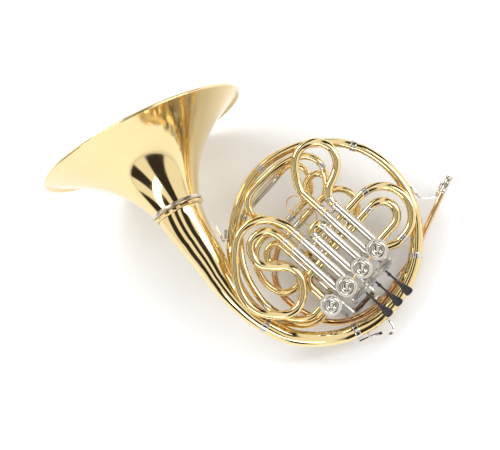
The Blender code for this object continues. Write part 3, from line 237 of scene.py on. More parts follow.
def smoothRoute(points, radii, spacing=2.0):
    # A bend through the points: each inner span is a cubic, the two end spans are straight.
    # The slope at a point is the mean of its two spans' directions, each weighted by the
    # other span's length.
    points = np.asarray(points)
    radii = np.broadcast_to(np.asarray(radii, float) * mm, len(points))
    lengths = np.linalg.norm(np.diff(points, axis=0), axis=1)
    runs = np.diff(points, axis=0) / lengths[:, None]
    slopes = np.empty_like(points)
    slopes[:2], slopes[-2:] = runs[0], runs[-1]
    blend = runs[:-1] * lengths[1:, None] + runs[1:] * lengths[:-1, None]
    slopes[2:-2] = (blend / np.linalg.norm(blend, axis=1)[:, None])[1:-1]
    counts = np.maximum(2, (lengths / (spacing * mm)).astype(int))
    centres = [np.linspace(points[0], points[1], counts[0], endpoint=False)]
    sizes = [np.linspace(radii[0], radii[1], counts[0], endpoint=False)]
    for i in range(1, len(points) - 2):
        t = np.linspace(0, 1, max(3, counts[i]), endpoint=False)[:, None]
        reach = lengths[i]
        centres.append(
            (2 * t**3 - 3 * t**2 + 1) * points[i] + (t**3 - 2 * t**2 + t) * reach * slopes[i]
            + (3 * t**2 - 2 * t**3) * points[i + 1] + (t**3 - t**2) * reach * slopes[i + 1]
        )
        sizes.append(radii[i] + (radii[i + 1] - radii[i]) * t[:, 0])
    centres.append(np.linspace(points[-2], points[-1], counts[-1] + 1))
    sizes.append(np.linspace(radii[-2], radii[-1], counts[-1] + 1))
    return np.vstack(centres), np.concatenate(sizes)


def lathe(profile, origin, axis, steps=64, mill=None):
    # A profile of (radius, height) in mm turned round an axis, as one grid of rings.
    # mill is (row, row, depth, count): between those rows the edge has that many flutes.
    profile = np.array(profile, float) * mm
    axis = np.asarray(axis) / np.linalg.norm(axis)
    side = np.cross(axis, aside["lathe"])
    side /= np.linalg.norm(side)
    other = np.cross(axis, side)
    angles = np.linspace(0, 2 * np.pi, steps, endpoint=False)
    spokes = np.cos(angles)[:, None] * side + np.sin(angles)[:, None] * other
    radii = np.repeat(profile[:, :1], steps, axis=1)
    if mill:
        low, high, depth, count = mill
        radii[low:high] -= depth * mm * (0.5 - 0.5 * np.cos(angles * count))
    return np.asarray(origin) + radii[..., None] * spokes + profile[:, 1, None, None] * axis


def looped(rings):
    # A turned wall closed on itself: its first ring again at the end.
    return np.concatenate([rings, rings[:1]])


def bow(centre, radius, start, end, w, count=48):
    # World places on an arc about (a, b) at height w, between two angles in degrees.
    angles = np.radians(np.linspace(start, end, count))
    return ab(*np.stack(
        [centre[0] + radius * np.cos(angles), centre[1] + radius * np.sin(angles),
         np.full(count, w)], axis=1))


valves = {
    "names": ("first", "second", "third", "change"),
    "a": (56.4, 57.94, 59.48, 61.01), "b": (37.7, 3.83, -30.04, -63.91),
    "front": 36.0, "back": (-20.5, -20.5, -20.5, -32.0), "radius": 15.5, "bore": 11.7,
    "reach": 13.4,  # from the valve's axis, where a tube ends inside the casing's wall
}


def outside(centres, radii, *near):
    # The part of a route that lies outside the casings it runs into.
    keep = np.ones(len(centres), bool)
    for index in near:
        middle = ab((valves["a"][index], valves["b"][index], 0))[0]
        offset = centres - middle
        offset -= (offset @ axisW)[:, None] * axisW
        keep &= np.linalg.norm(offset, axis=1) > valves["reach"] * mm
    return centres[keep], radii[keep]


def tube(name, points, radii, finish, near=(), sides=28):
    # A smooth tube in place of the CAD node of that name, cut at the casings it is near.
    centres, sizes = outside(*smoothRoute(points, radii), *near)
    meshFromGrids(f"{name}Skin", [ringsAlong(centres, sizes, sides)], finish, "horn", (name,))
    return centres, sizes


def band(name, route, share, length=7.0, proud=0.55, body="horn"):
    # A turned nickel ferrule round a tube, at a share of the tube's points.
    centres, sizes = route
    index = int(share * (len(centres) - 1))
    index = min(max(index, 1), len(centres) - 2)
    way = centres[index + 1] - centres[index - 1]
    inner, half = sizes[index] / mm - 0.2, length / 2
    outer = sizes[index] / mm + proud
    profile = [(inner, -half), (outer - 0.2, -half), (outer, -half + 0.3), (outer, -half + 1.2),
               (outer - 0.25, -half + 1.5), (outer - 0.25, half - 1.5), (outer, half - 1.2),
               (outer, half - 0.3), (outer - 0.2, half), (inner, half)]
    meshFromGrids(name, [lathe(profile, centres[index], way, 40)], "nickelSilver", body)


# Bell

bell = {
    "rim": (-268.3, 150.0, -29.0), "turn": 117.3, "tilt": 8.3, "radius": 155.0,
    "depth": 118.0, "throat": 34.0, "reach": 300.0, "wall": 1.2, "bead": 2.2, "sides": 128,
    "ringLow": 0.6, "ringHigh": 6.0, "ringRadius": 39.0, "ringFlutes": 80, "fluteDeep": 0.35,
}
turn, tilt = math.radians(bell["turn"]), math.radians(bell["tilt"])
bellAxis = (
    math.cos(turn) * math.cos(tilt) * axisU + math.sin(turn) * math.cos(tilt) * axisV
    - math.sin(tilt) * axisW
)
ringCentre = uv(bell["rim"])[0] - bellAxis * bell["depth"] * mm


def flareRadius(height):
    # A horn that opens as a power of the distance from a point behind the rim.
    power = math.log(bell["radius"] / bell["throat"]) / math.log(1 + bell["depth"] / bell["reach"])
    return bell["radius"] * (1 + (bell["depth"] - height) / bell["reach"]) ** -power


def buildBell():
    # The flare is its curve out, round the rim bead and back a wall inside, turned once round.
    heights = bell["depth"] * np.linspace(0, 1, 60)[:-1]
    half = bell["wall"] / 2
    outer = np.stack([flareRadius(heights) + half, heights], axis=1)
    inner = np.stack([flareRadius(heights) - half, heights], axis=1)[::-1]
    angles = np.radians(np.linspace(-70, 160, 14))
    middle = bell["depth"] - bell["bead"]
    bead = np.stack(
        [bell["radius"] + bell["bead"] * np.cos(angles), middle + bell["bead"] * np.sin(angles)],
        axis=1)
    profile = np.vstack([outer, bead, inner])
    rings = lathe(profile, ringCentre, bellAxis, bell["sides"])
    meshFromGrids("bellFlareSkin", [looped(rings)], "bellBrass", "horn", ("bell_flare",))
    low, high, wide = bell["ringLow"], bell["ringHigh"], bell["ringRadius"]
    hole = flareRadius(high) + 0.9
    ring = [(hole - 1.0, low), (wide - 1.0, low), (wide, low + 0.8), (wide, high - 2.6),
            (wide - 0.7, high - 1.9), (wide - 0.7, high - 1.5), (wide - 1.4, high), (hole, high)]
    flutes = (2, 4, bell["fluteDeep"], bell["ringFlutes"])
    rings = lathe(ring, ringCentre, bellAxis, 3 * bell["ringFlutes"], flutes)
    meshFromGrids(
        "bellScrewRingSkin", [looped(rings)], "nickelSilver", "horn", ("bell_screw_ring",))
    hole = bell["throat"] - 0.1
    ring = [(hole, -high), (wide - 2, -high), (wide - 0.4, -high + 1.2), (wide - 0.4, -high + 2),
            (wide, -high + 2.4), (wide, -low - 0.8), (wide - 1, -low), (hole, -low)]
    rings = lathe(ring, ringCentre, bellAxis, bell["sides"])
    meshFromGrids(
        "bellSocketRingSkin", [looped(rings)], "lacqueredBrass", "horn", ("bell_socket_ring",))


tail = {
    "start": 0.6, "straight": 7.0, "wall": 1.4, "sides": 56, "spacing": 2.5,
    "route": (
        (-190, 4, -8), (-170, -26, -6), (-155, -51, -4), (-137.5, -74.5, -2.5),
        (-120.5, -93, -2), (-102.5, -109, -2), (-84, -121, -2), (-48, -136.7, -2),
        (-26, -139.2, -2), (15, -135.9, -2), (31.5, -131.2, -2), (40.5, -126.86, -2)),
    "radii": (33.5, 33.5, 28, 24, 20, 17, 14.7, 13.2, 12.5, 11.6, 11.3, 10.8, 10.6, 10.6),
    "bored": 3,  # the bore takes the first third of the points
}


def buildTail():
    # The outside from its thin end to the throat, and from there the bore, as one grid.
    top = ringCentre - bellAxis * tail["start"] * mm
    low = ringCentre - bellAxis * tail["straight"] * mm
    points = np.vstack([top, low, uv(*tail["route"])])
    centres, sizes = smoothRoute(points, tail["radii"], tail["spacing"])
    outer = ringsAlong(centres, sizes, tail["sides"])
    inner = ringsAlong(centres, sizes - tail["wall"] * mm, tail["sides"])
    inner = inner[:len(centres) // tail["bored"]]
    meshFromGrids(
        "bellTailSkin", [np.concatenate([outer[::-1], inner])[:, ::-1]], "bellBrass", "horn",
        ("bell_tail",))
    band("tailGarland", (centres, sizes), 0.62, 9, 0.5)


buildBell()
buildTail()
print("bell made")


# Main tubes

mainTubes = {  # each tube's way, its radius along it, and the valves whose casings it meets
    "main_branch": {
        "radii": (10.6, 10.5, 10.4, 10.15, 10, 9.75, 9.5, 8.75, 7.75, 6.9, 6.6, 6.5, 6.5),
        "near": (), "sides": 40,
        "route": uv(
            (41.04, -126.6, -2), (49, -122.77, -2), (65.5, -113.4, -2), (90.5, -90.5, -2),
            (109.6, -63.3, -2), (122, -32.7, -2), (126.5, 0, -2), (125.1, 33.5, -2),
            (115.6, 66.8, -2), (96.7, 96.7, -2), (70, 121.2, -2), (43.86, 134.98, -2),
            (36.2, 137.3, -2))},
    "outer_return": {
        "radii": 6.4, "near": (3,), "sides": 28,
        "route": np.vstack([
            uv((35.63, 137.47, -2), (27.6, 139.9, -2), (0, 142.3, -2), (-37.1, 138.3, -2),
               (-71.7, 124.1, -2), (-101, 101, -2), (-121.4, 70.1, -2), (-133.5, 35.8, -2),
               (-137.6, 7.2, -2.5), (-139.2, -9.7, -8), (-137.4, -26.7, -18),
               (-134.1, -43.6, -27), (-127.2, -62, -30), (-111.1, -86.8, -27),
               (-89.3, -106.5, -22), (-66.5, -115.2, -17)),
            ab((40, -121.5, -14), (53, -112, -13.2), (62, -100, -13.2), (65.5, -88, -13.2),
               (65.5, -70, -13.2))])},
    "left_run": {
        "radii": 5.2, "near": (3,), "sides": 28,
        "route": ab(
            (55.5, -70, 1), (55.5, -88, 1), (52, -99, 1), (43.5, -109.5, 1), (27, -119.5, 0.5),
            (-4, -126, -1), (-31, -121.5, -3), (-62, -109.5, -6), (-86.5, -90.5, -10),
            (-104.5, -71, -13), (-114, -53, -14.2), (-117.5, -41, -14.2),
            (-117.5, -36.4, -14.2))},
    "second_run": {
        "radii": 5.2, "near": (0,), "sides": 28,
        "route": ab(
            (-63, -22.4, -24.8), (-63, -25, -24.8), (-66.5, -29, -23), (-74.5, -31, -16.5),
            (-85, -33.8, -7), (-95, -39, 2), (-102, -43.5, 9), (-110, -43, 13),
            (-120, -38, 13.9), (-127.5, -27, 13.9), (-129.5, -12, 13.9), (-128.5, 8, 13.9),
            (-127, 25, 13.9), (-123, 42, 13.9), (-116.5, 56, 13.9), (-106, 69, 13.9),
            (-94, 75, 13.9), (-82, 75, 13.9), (-71, 70, 11), (-58, 60.5, 4),
            (-47, 49.5, 0.5), (-38, 46, 0.5), (50, 46, 0.5))},
    "change_valve_elbow": {
        "radii": 5.2, "near": (3,), "sides": 28,
        "route": ab(
            (5.7, -44.5, -24.8), (5.7, -49, -24.8), (9, -58, -24.8), (17, -62.8, -24.8),
            (27, -63.8, -24.8), (52, -63.8, -24.8))},
}
tubeBands = {  # the tube each ferrule is on, its share of the points, and its length
    "mainGarland": ("main_branch", 0.42, 8), "returnFerrule": ("outer_return", 0.30, 10),
    "returnFerruleLow": ("outer_return", 0.86, 8), "leftFerrule": ("left_run", 0.35, 9),
    "leftFerruleLow": ("left_run", 0.93, 7), "secondFerrule": ("second_run", 0.62, 9),
    "elbowFerrule": ("change_valve_elbow", 0.55, 6),
}


def buildMainTubes():
    # All tubes first, and then their ferrules.
    routes = {
        name: tube(name, way["route"], way["radii"], "lacqueredBrass", way["near"], way["sides"])
        for name, way in mainTubes.items()}
    for name, (carrier, share, length) in tubeBands.items():
        band(name, routes[carrier], share, length)


def buildFerrules():
    # The sleeves that join the body's large tubes, grooved round the middle.
    for node, place, way, size in (
        ("tail_ferrule", (40.77, -126.73, -2), (0.901, 0.433), 10.6),
        ("top_ferrule", (35.9, 137.39, -2), (-0.957, 0.29), 6.5),
    ):
        inner, outer = size + 0.1, size + 1.4
        groove = outer - 0.3
        profile = [(inner, -4), (groove, -4), (outer, -3.6), (outer, -2.6), (groove, -2.3),
                   (groove, 2.3), (outer, 2.6), (outer, 3.6), (groove, 4), (inner, 4)]
        axis = way[0] * axisU + way[1] * axisV
        meshFromGrids(
            f"{node}Skin", [looped(lathe(profile, uv(place)[0], axis, 56))], "nickelSilver",
            "horn", (node,))


leadpipe = {
    "start": (175.5, 94.5, -8), "bend": (138, 11, -15), "receiver": 26.3, "thin": 4.3,
    "wide": 4.8, "thinPoints": 4, "widePoints": 14,
}


def buildLeadpipe():
    # The tapered pipe from the receiver round the back of the body, and the receiver itself.
    start, bend = uv(leadpipe["start"], leadpipe["bend"])
    run = (bend - start) / np.linalg.norm(bend - start)
    first = start + run * leadpipe["receiver"] * mm
    points = np.vstack([
        first, bend,
        uv((130, -8, -17.2), (118, -30, -16.6), (104, -50, -14), (88, -73, -13.5),
           (70, -93, -13.5), (50, -106, -16), (20, -116, -22), (0, -115.5, -25.2),
           (-28, -105, -25.2), (-45, -95, -25.2), (-62, -80, -25.2), (-73, -62, -25.2)),
        ab((-31, -80, -25.2), (-43, -62, -25), (-47.7, -48, -24.8), (-47.7, -44.4, -24.8))])
    radii = np.repeat(
        [leadpipe["thin"], leadpipe["wide"]], [leadpipe["thinPoints"], leadpipe["widePoints"]])
    route = tube("leadpipe", points, radii, "roseBrass")
    band("leadpipeFerrule", route, 0.33, 8)
    band("leadpipeCollar", route, 0.9, 9)
    profile = [(2.4, 20), (3.1, 8), (3.3, 0), (4.3, 0), (5.0, 0.3), (5.6, 1.0), (5.7, 1.9),
               (5.3, 2.8), (4.8, 3.6), (4.75, 10), (5.0, 10.4), (5.0, 11.6), (4.75, 12),
               (4.75, 22), (5.1, 22.5), (5.1, 25.4), (4.8, 26), (0.4, 26), (0.4, 21)]
    meshFromGrids(
        "mouthpieceReceiverSkin", [looped(lathe(profile, start, run, 48))], "nickelSilver",
        "horn", ("mouthpiece_receiver",))


buildMainTubes()
buildFerrules()
buildLeadpipe()
print("main tubes made")


# Loops over the first valve

loops = {
    "centre": (31.7, 79.1), "wide": 42.0, "narrow": 20.7, "w": 13.9, "radius": 6.2,
    "band": 9,
}


def buildLoops():
    # Each loop is a straight start, a half circle over the first valve, and an end.
    a, b, w, size = *loops["centre"], loops["w"], loops["radius"]
    low, _ = smoothRoute(
        ab((50, -41.2, 0.5), (8, -41.2, 0.5), (-3, -39.5, 3.5), (-9, -32, 10),
           (a - loops["wide"], -22, w), (a - loops["wide"], -16, w)), size)
    end, _ = smoothRoute(
        ab((a + loops["wide"], b - 1, w), (a + loops["wide"], 72, w), (72.8, 64, w),
           (69.8, 57.5, w), (66.4, 51.5, w), (62, 44, w)), size)
    centres = np.vstack([low, bow(loops["centre"], loops["wide"], 180, 0, w), end])
    route = outside(centres, np.full(len(centres), size * mm), 0, 2)
    meshFromGrids("wideLoopSkin", [ringsAlong(*route)], "lacqueredBrass", "horn", ("wide_loop",))
    for place, share in (("Left", 0.42), ("Right", 0.88)):
        band(f"wideLoopFerrule{place}", route, share, loops["band"])
    low, _ = smoothRoute(
        ab((52, -63.8, w), (28, -63.8, w), (19, -62, w), (12.8, -56, w),
           (a - loops["narrow"], -47, w), (a - loops["narrow"], -40, w)), size)
    end = ab(*[(a + loops["narrow"], place, w) for place in np.linspace(b - 1, 45, 24)])
    centres = np.vstack([low, bow(loops["centre"], loops["narrow"], 180, 0, w), end])
    route = outside(centres, np.full(len(centres), size * mm), 0, 3)
    meshFromGrids(
        "narrowLoopSkin", [ringsAlong(*route)], "lacqueredBrass", "horn", ("narrow_loop",))
    leg = a - loops["narrow"]
    for place, low in (("Left", 70), ("Low", -25)):
        short = ab((leg, low, w), (leg, low + 1, w), (leg, low + 2, w))
        band(f"narrowLoopFerrule{place}", (short, np.full(3, size * mm)), 0.5, loops["band"])


buildLoops()
print("loops made")


# Valves

def buildValves():
    # A turned casing that is open at the caps' side, and a cap with a fluted edge over it.
    front, size, bore = valves["front"], valves["radius"], valves["bore"]
    for index, name in enumerate(valves["names"]):
        back = valves["back"][index]
        centre = ab((valves["a"][index], valves["b"][index], 0))[0]
        profile = [
            (3.2, back), (15.0, back), (size, back + 0.5), (size, back + 1.8),
            (size - 0.35, back + 2.1), (size - 0.35, back + 2.9), (size, back + 3.2),
            (size, front - 5.4), (size - 0.3, front - 5.1), (size - 0.3, front - 4.3),
            (size, front - 4.0), (size, front - 0.5), (size - 0.5, front), (bore, front),
            (bore, back + 3.5), (3.2, back + 3.5)]
        meshFromGrids(
            f"{name}CasingSkin", [looped(lathe(profile, centre, axisW, 72))], "nickelSilver",
            "horn", (f"{name}_casing",))
        low = front + 0.3
        cap = [
            (0.01, low), (12.0, low), (12.5, low + 0.4), (12.5, low + 1.8), (12.35, low + 2.0),
            (12.35, low + 2.5), (12.5, low + 2.8), (12.4, low + 3.6), (11.9, low + 4.4),
            (11.0, low + 4.9), (9.5, low + 5.2), (8.0, low + 5.1), (7.0, low + 4.8),
            (6.4, low + 4.2), (5.6, low + 2.9), (4.8, low + 2.1), (3.6, low + 1.75),
            (2.0, low + 1.65), (0.01, low + 1.6)]
        meshFromGrids(
            f"{name}CapSkin", [lathe(cap, centre, axisW, 144, (2, 4, 0.22, 72))],
            "nickelSilver", "horn", (f"{name}_cap",))


buildValves()
print("valves made")


# Slides

slideSet = {
    "leg": 9.4, "shift": -1.6, "frontW": 27.0, "rearW": -12.0, "front": 6.2, "rear": 5.2,
    "wall": 0.6, "play": 0.4, "depth": 50.0, "open": 8, "sleeveSides": 40,
    "shoulder": (0.3, 0.32, 0.6), "shoulderShare": 0.96,  # where a thin leg widens to the bow
    "bandLength": 6, "bandProud": 0.5, "bandShares": (0.02, 0.98),
}


def sleeveRings(mouth, way, length, size):
    # An outer slide tube with a turned bead at its mouth, open to a small depth only.
    bore, floor = size - slideSet["wall"], -slideSet["open"]
    profile = [(0.01, floor), (bore, floor), (bore, 0), (size + 0.3, 0), (size + 0.6, -0.4),
               (size + 0.6, -2.6), (size + 0.3, -3.0), (size, -3.3), (size, -length + 0.3),
               (size - 0.3, -length), (0.01, -length)]
    return lathe(profile, mouth, way, slideSet["sleeveSides"])[::-1]


def tieRings(first, second, size, flange=2.2):
    # A brace between two tubes that widens to a foot at each end.
    share = np.array([0, 0.06, 0.14, 0.24, 0.76, 0.86, 0.94, 1.0])
    centres = first + share[:, None] * (second - first)
    radii = np.array([flange, flange, size * 1.25, size, size, size * 1.25, flange, flange]) * mm
    return ringsAlong(centres, radii, 24)


def buildPair(name, valve, legs, mouth, w, size, end):
    # Two sleeves from a valve's casing, or from a = end if that comes first, and their tie.
    grids = []
    for b in legs:
        beside = b - valves["b"][valve]
        wall = valves["a"][valve] - math.sqrt(max(valves["reach"]**2 - beside**2, 0))
        reach = min(wall, end) - mouth
        grids.append(sleeveRings(ab((mouth, b, w))[0], -axisA, reach, size))
    high, low = legs
    if high - low > 2 * size + 1:
        grids.append(tieRings(ab((mouth + 5, low + size - 0.3, w))[0],
                              ab((mouth + 5, high - size + 0.3, w))[0], 1.4))
    meshFromGrids(f"{name}SleevesSkin", grids, "nickelSilver", "horn", (f"{name}_sleeves",))


def buildSlide(name, mouths, way, inner, size, depths, extra=()):
    # Two thin legs and the bow between them, whose ends meet the sleeves' mouths.
    thin = (size - slideSet["wall"] - slideSet["play"]) * mm
    wide = size * mm
    legs = [mouth + np.outer([-depth, *slideSet["shoulder"]], way) * mm
            for mouth, depth in zip(mouths, depths)]
    taper = np.array([thin, thin, wide * slideSet["shoulderShare"], wide])
    bowSizes = np.full(len(inner), wide)
    centres = np.vstack([legs[0], inner, legs[1][::-1]])
    sizes = np.concatenate([taper, bowSizes, taper[::-1]])
    grids = [ringsAlong(centres, sizes), *extra]
    meshFromGrids(f"{name}Skin", grids, "lacqueredBrass", name, (name,))
    for share, place in zip(slideSet["bandShares"], ("First", "Second")):
        band(f"{name}Band{place}", (inner, bowSizes), share, slideSet["bandLength"],
             slideSet["bandProud"], body=name)


def drawSlide(name, valve, legs, mouth, w, size, inner, depth=slideSet["depth"], end=math.inf):
    # A valve slide with its pair of sleeves.
    buildPair(name, valve, legs, mouth, w, size, end)
    mouths = [ab((mouth, b, w))[0] for b in legs]
    buildSlide(f"{name}_slide", mouths, -axisA, inner, size, (depth, depth))


def legsOf(valve):
    # How far across the horn a valve's two slide legs lie.
    middle = valves["b"][valve] + slideSet["shift"]
    return middle + slideSet["leg"], middle - slideSet["leg"]


def bentInner(points):
    # A slide's way between its legs, without the two end points that the legs already hold.
    centres, _ = smoothRoute(points, 1.0)
    return centres[1:-1]


def buildFrontSlides():
    # The long slides: each way runs from the upper leg round to the lower one.
    w, size = slideSet["frontW"], slideSet["front"]
    high, low = legsOf(0)
    points = ab(
        (-33, high, w), (-37, high, w), (-46.5, 50.5, w), (-52, 58, w), (-54.5, 66, w),
        (-57.5, 75, w), (-63, 86, w), (-73, 95.5, w), (-87, 100.5, w), (-102, 97, w),
        (-113, 87, w), (-118, 73, w), (-116, 60, w), (-109, 49, w), (-99, 39.5, w),
        (-88, 31.5, w), (-75, low, w), (-33, low, w))
    drawSlide("first_front", 0, (high, low), -32, w, size, bentInner(points))
    high, low = legsOf(1)
    inner = bow((-21, (high + low) / 2), slideSet["leg"], 90, 270, w, 24)
    drawSlide("second_front", 1, (high, low), -18, w, size, inner, 42)
    high, low = legsOf(2)
    points = np.vstack([
        ab((-33, high, w), (-54, high, w)),
        uv((-72, 28.5, w), (-86, 31.2, w), (-101, 30, w), (-113, 25.3, w), (-123, 16.5, w),
           (-129.5, 3, w), (-132.2, -15, w), (-132.2, -35, w), (-130, -55, w),
           (-124, -73, w), (-112, -89, w), (-95, -99.5, w), (-75, -103.3, w),
           (-58, -101.5, w), (-44, -92.5, w), (-37, -78, w), (-36.5, -63, w),
           (-41.5, -48, w), (-51, -38, w), (-62, -35, w), (-75, -35.3, w), (-89, -34.5, w),
           (-100, -30, w), (-108, -20, w), (-111.2, -8, w), (-108.5, 3, w), (-101, 11, w),
           (-90, 15.3, w), (-80, 14, w)),
        ab((-55, low, w), (-33, low, w))])
    drawSlide("third_front", 2, (high, low), -32, w, size, bentInner(points))


def buildRearSlides():
    # The short slides under the long ones, made in the same way.
    w, size = slideSet["rearW"], slideSet["rear"]
    high, low = legsOf(0)
    points = ab(
        (-29, high, w), (-39, high, w), (-48, 49.5, w), (-54, 58, w), (-60, 65, w),
        (-68, 67.3, w), (-76.4, 63.8, w), (-80.8, 54.7, w), (-79.5, 43.7, w),
        (-74.9, 34.7, w), (-63, low, w), (-29, low, w))
    drawSlide("first_rear", 0, (high, low), -28, w, size, bentInner(points))
    high, low = legsOf(1)
    inner = bow((-12, (high + low) / 2), slideSet["leg"], 90, 270, w, 24)
    drawSlide("second_rear", 1, (high, low), -9, w, size, inner, 42)
    high, low = -36.6, -47.6
    points = ab(
        (-29, high, w), (-50, high, w), (-63.5, -40.5, w), (-70.6, -51.5, w),
        (-71.5, -66.9, w), (-66.5, -80.2, w), (-58.5, -88, w), (-46.9, -97.4, w),
        (-30.9, -102.7, w), (-14.5, -102.7, w), (0.4, -97.4, w), (8, -87.4, w),
        (10.2, -75.6, w), (3.7, -65.5, w), (-8, -61, w), (-22, -64.5, w), (-34, -72, w),
        (-44.2, -76.5, w), (-53, -71.5, w), (-56.8, -60.5, w), (-49, low - 0.4, w),
        (-44, low, w), (-29, low, w))
    drawSlide("third_rear", 2, (high, low), -28, w, size, bentInner(points), end=53.5)


def ringLoop(centre, radius=11.5, wire=0.9):
    # A wire ring: a circle carried once round a circle, whose two ends meet.
    angles = np.linspace(0, 2 * np.pi, 73)[:, None]
    centres = centre + radius * mm * (np.cos(angles) * axisA + np.sin(angles) * axisB)
    return ringsAlong(centres, np.full(len(centres), wire * mm), 14)


def buildTuningSleeves(name, mouths, lengths, size):
    # The two sleeves of a tuning slide, each a node of its own.
    for place, mouth, length in zip(("left", "right"), mouths, lengths):
        node = f"{name}_tuning_sleeve_{place}"
        meshFromGrids(f"{node}Skin", [sleeveRings(mouth, axisB, length, size + 0.3)],
                      "nickelSilver", "horn", (node,))


def buildTuningSlides():
    # They draw across the horn, each by a wire ring on one leg.
    size, w, runW = 5.2, -24.8, -14.2
    left, right, mouth = -47.7, 5.7, -3.5
    mouths = ab((left, mouth, w), (right, mouth, w))
    buildTuningSleeves("main", mouths, (40.6, 40.6), size)
    inner = bow(((left + right) / 2, 48.5), (right - left) / 2, 180, 0, w)
    legs = ab((left, 2, w), (left, 20, w), (left, 40, w))
    other = ab((right, 40, w), (right, 20, w), (right, 2, w))
    inner = np.vstack([legs, inner, other])
    ring = ringLoop(ab((left + 3.5, 9, w + size))[0])
    buildSlide("main_tuning_slide", mouths, axisB, inner, size, (32, 32), (ring,))
    outer, near, high = -117.5, -63, 15
    mouths = ab((outer, high, runW), (near, mouth, w))
    buildTuningSleeves("second", mouths, (51, 18.4), size)
    points = ab(
        (outer, 16, runW), (outer, 35, runW), (-115.5, 45, -16.5), (-108.5, 52.5, -22),
        (-98, 56, w), (-87, 54.5, w), (-76, 48, w), (-67.5, 38, w), (-63.5, 27, w),
        (near, 18, w), (near, -2.5, w))
    ring = ringLoop(ab((near - 9, 9, w + size))[0])
    buildSlide("second_tuning_slide", mouths, axisB, bentInner(points), size, (32, 12), (ring,))


buildFrontSlides()
buildRearSlides()
buildTuningSlides()
print("slides made")


# Levers

lever = {
    "hingeA": 83.0, "hingeW": 26.0, "pitch": 20.6, "first": 23.5, "swing": 13.0, "crank": 8.5,
    "wire": 1.5, "pin": 1.3, "hubBore": 2.3, "hubRadius": 3.8, "hubSide": 2.6, "armBeside": 4.6,
    "armStart": 2.9, "softness": 0.45, "paddleSides": 32, "paddleRings": 60,
    "along": (2.9, 10, 22, 31, 36, 40.5, 44, 47.5, 49.6, 50.8, 51.4),  # from the hinge
    "half": (1.5, 1.5, 1.55, 2.5, 3.9, 5.3, 6.1, 6.5, 6.0, 4.4, 1.8),  # half widths there
}
bracket = {
    "past": 4.5, "rail": 6.4, "rod": 2.0, "railRadius": 1.7, "chamfer": 0.4, "stop": 1.1,
    "stopIn": 2.2, "arm": 1.3, "foot": 2.4, "armStart": 15.2,
}
bumper = {
    "from": 11, "under": 3.4,
    "profile": ((0.01, 0), (2.6, 0), (2.9, 0.4), (2.9, 2.4), (2.6, 2.8), (0.01, 2.8)),
}


def leverPlaces(index):
    # Across the horn: a lever's paddle, its link, its arm, and the two ends of its hub.
    b = lever["first"] - lever["pitch"] * index
    linkB = valves["b"][index] - lever["crank"] * (1 + math.cos(math.pi / 4)) / 2
    armB = linkB + lever["armBeside"]
    return b, linkB, armB, min(b, armB) - lever["hubSide"], max(b, armB) + lever["hubSide"]


def softened(x):
    # Bends a circle's sine or cosine towards the side of a rounded box.
    return np.sign(x) * np.abs(x) ** lever["softness"]


def paddleRings(b):
    # A flat stem that opens to a round touch: rounded boxes along the lever.
    share, sides = np.linspace(0, 1, lever["paddleRings"]), lever["paddleSides"]
    knots = np.linspace(0, 1, len(lever["along"]))
    places = np.interp(share, knots, lever["along"])
    widths = np.interp(share, knots, lever["half"])
    angles = np.linspace(0, 2 * np.pi, sides, endpoint=False)
    rise = 0.8 + 0.35 * np.sin(np.pi * np.clip((places - 20) / 31, 0, 1))
    thick = np.where(places > 50.5, 0.6, 1.0)
    a = np.repeat((lever["hingeA"] + places)[:, None], sides, axis=1)
    across = b + widths[:, None] * softened(np.cos(angles))[None]
    w = lever["hingeW"] + rise[:, None] + thick[:, None] * softened(np.sin(angles))[None]
    stacked = np.stack([a, across, w], axis=-1)
    return bodyOrigin + mm * (stacked @ np.array([axisA, axisB, axisW]))


def buildLevers():
    # Each lever is a hub on the hinge rod, an arm down to its link's pin, and a paddle.
    hinge, hingeW, wide = lever["hingeA"], lever["hingeW"], lever["hubRadius"]
    swing = math.radians(lever["swing"] / 2)
    throw = lever["crank"] * math.sin(math.pi / 4)
    pinA, pinW = hinge + throw, hingeW - throw / math.tan(swing)
    for index, name in enumerate(valves["names"][:3]):
        b, linkB, armB, low, high = leverPlaces(index)
        long = high - low
        hub = [(lever["hubBore"], 0), (wide - 0.3, 0), (wide, 0.3), (wide, long - 0.3),
               (wide - 0.3, long), (lever["hubBore"], long)]
        grids = [looped(lathe(hub, ab((hinge, low, hingeW))[0], axisB, 40))]
        top, end = ab((hinge + lever["armStart"] * math.sin(swing), armB,
                       hingeW - lever["armStart"] * math.cos(swing)), (pinA, armB, pinW))
        grids.append(tieRings(top, end, lever["wire"], 1.9))
        pin = ab((pinA, armB + 1.2, pinW), (pinA, armB, pinW), (pinA, linkB, pinW),
                 (pinA, linkB - 3.2, pinW))
        grids.append(ringsAlong(pin, np.full(4, lever["pin"] * mm), 20))
        body = f"{name}_lever"
        meshFromGrids(f"{name}LeverSkin", grids, "turnedSteel", body, (body,))
        meshFromGrids(f"{name}Paddle", [paddleRings(b)], "blackLacquer", body)


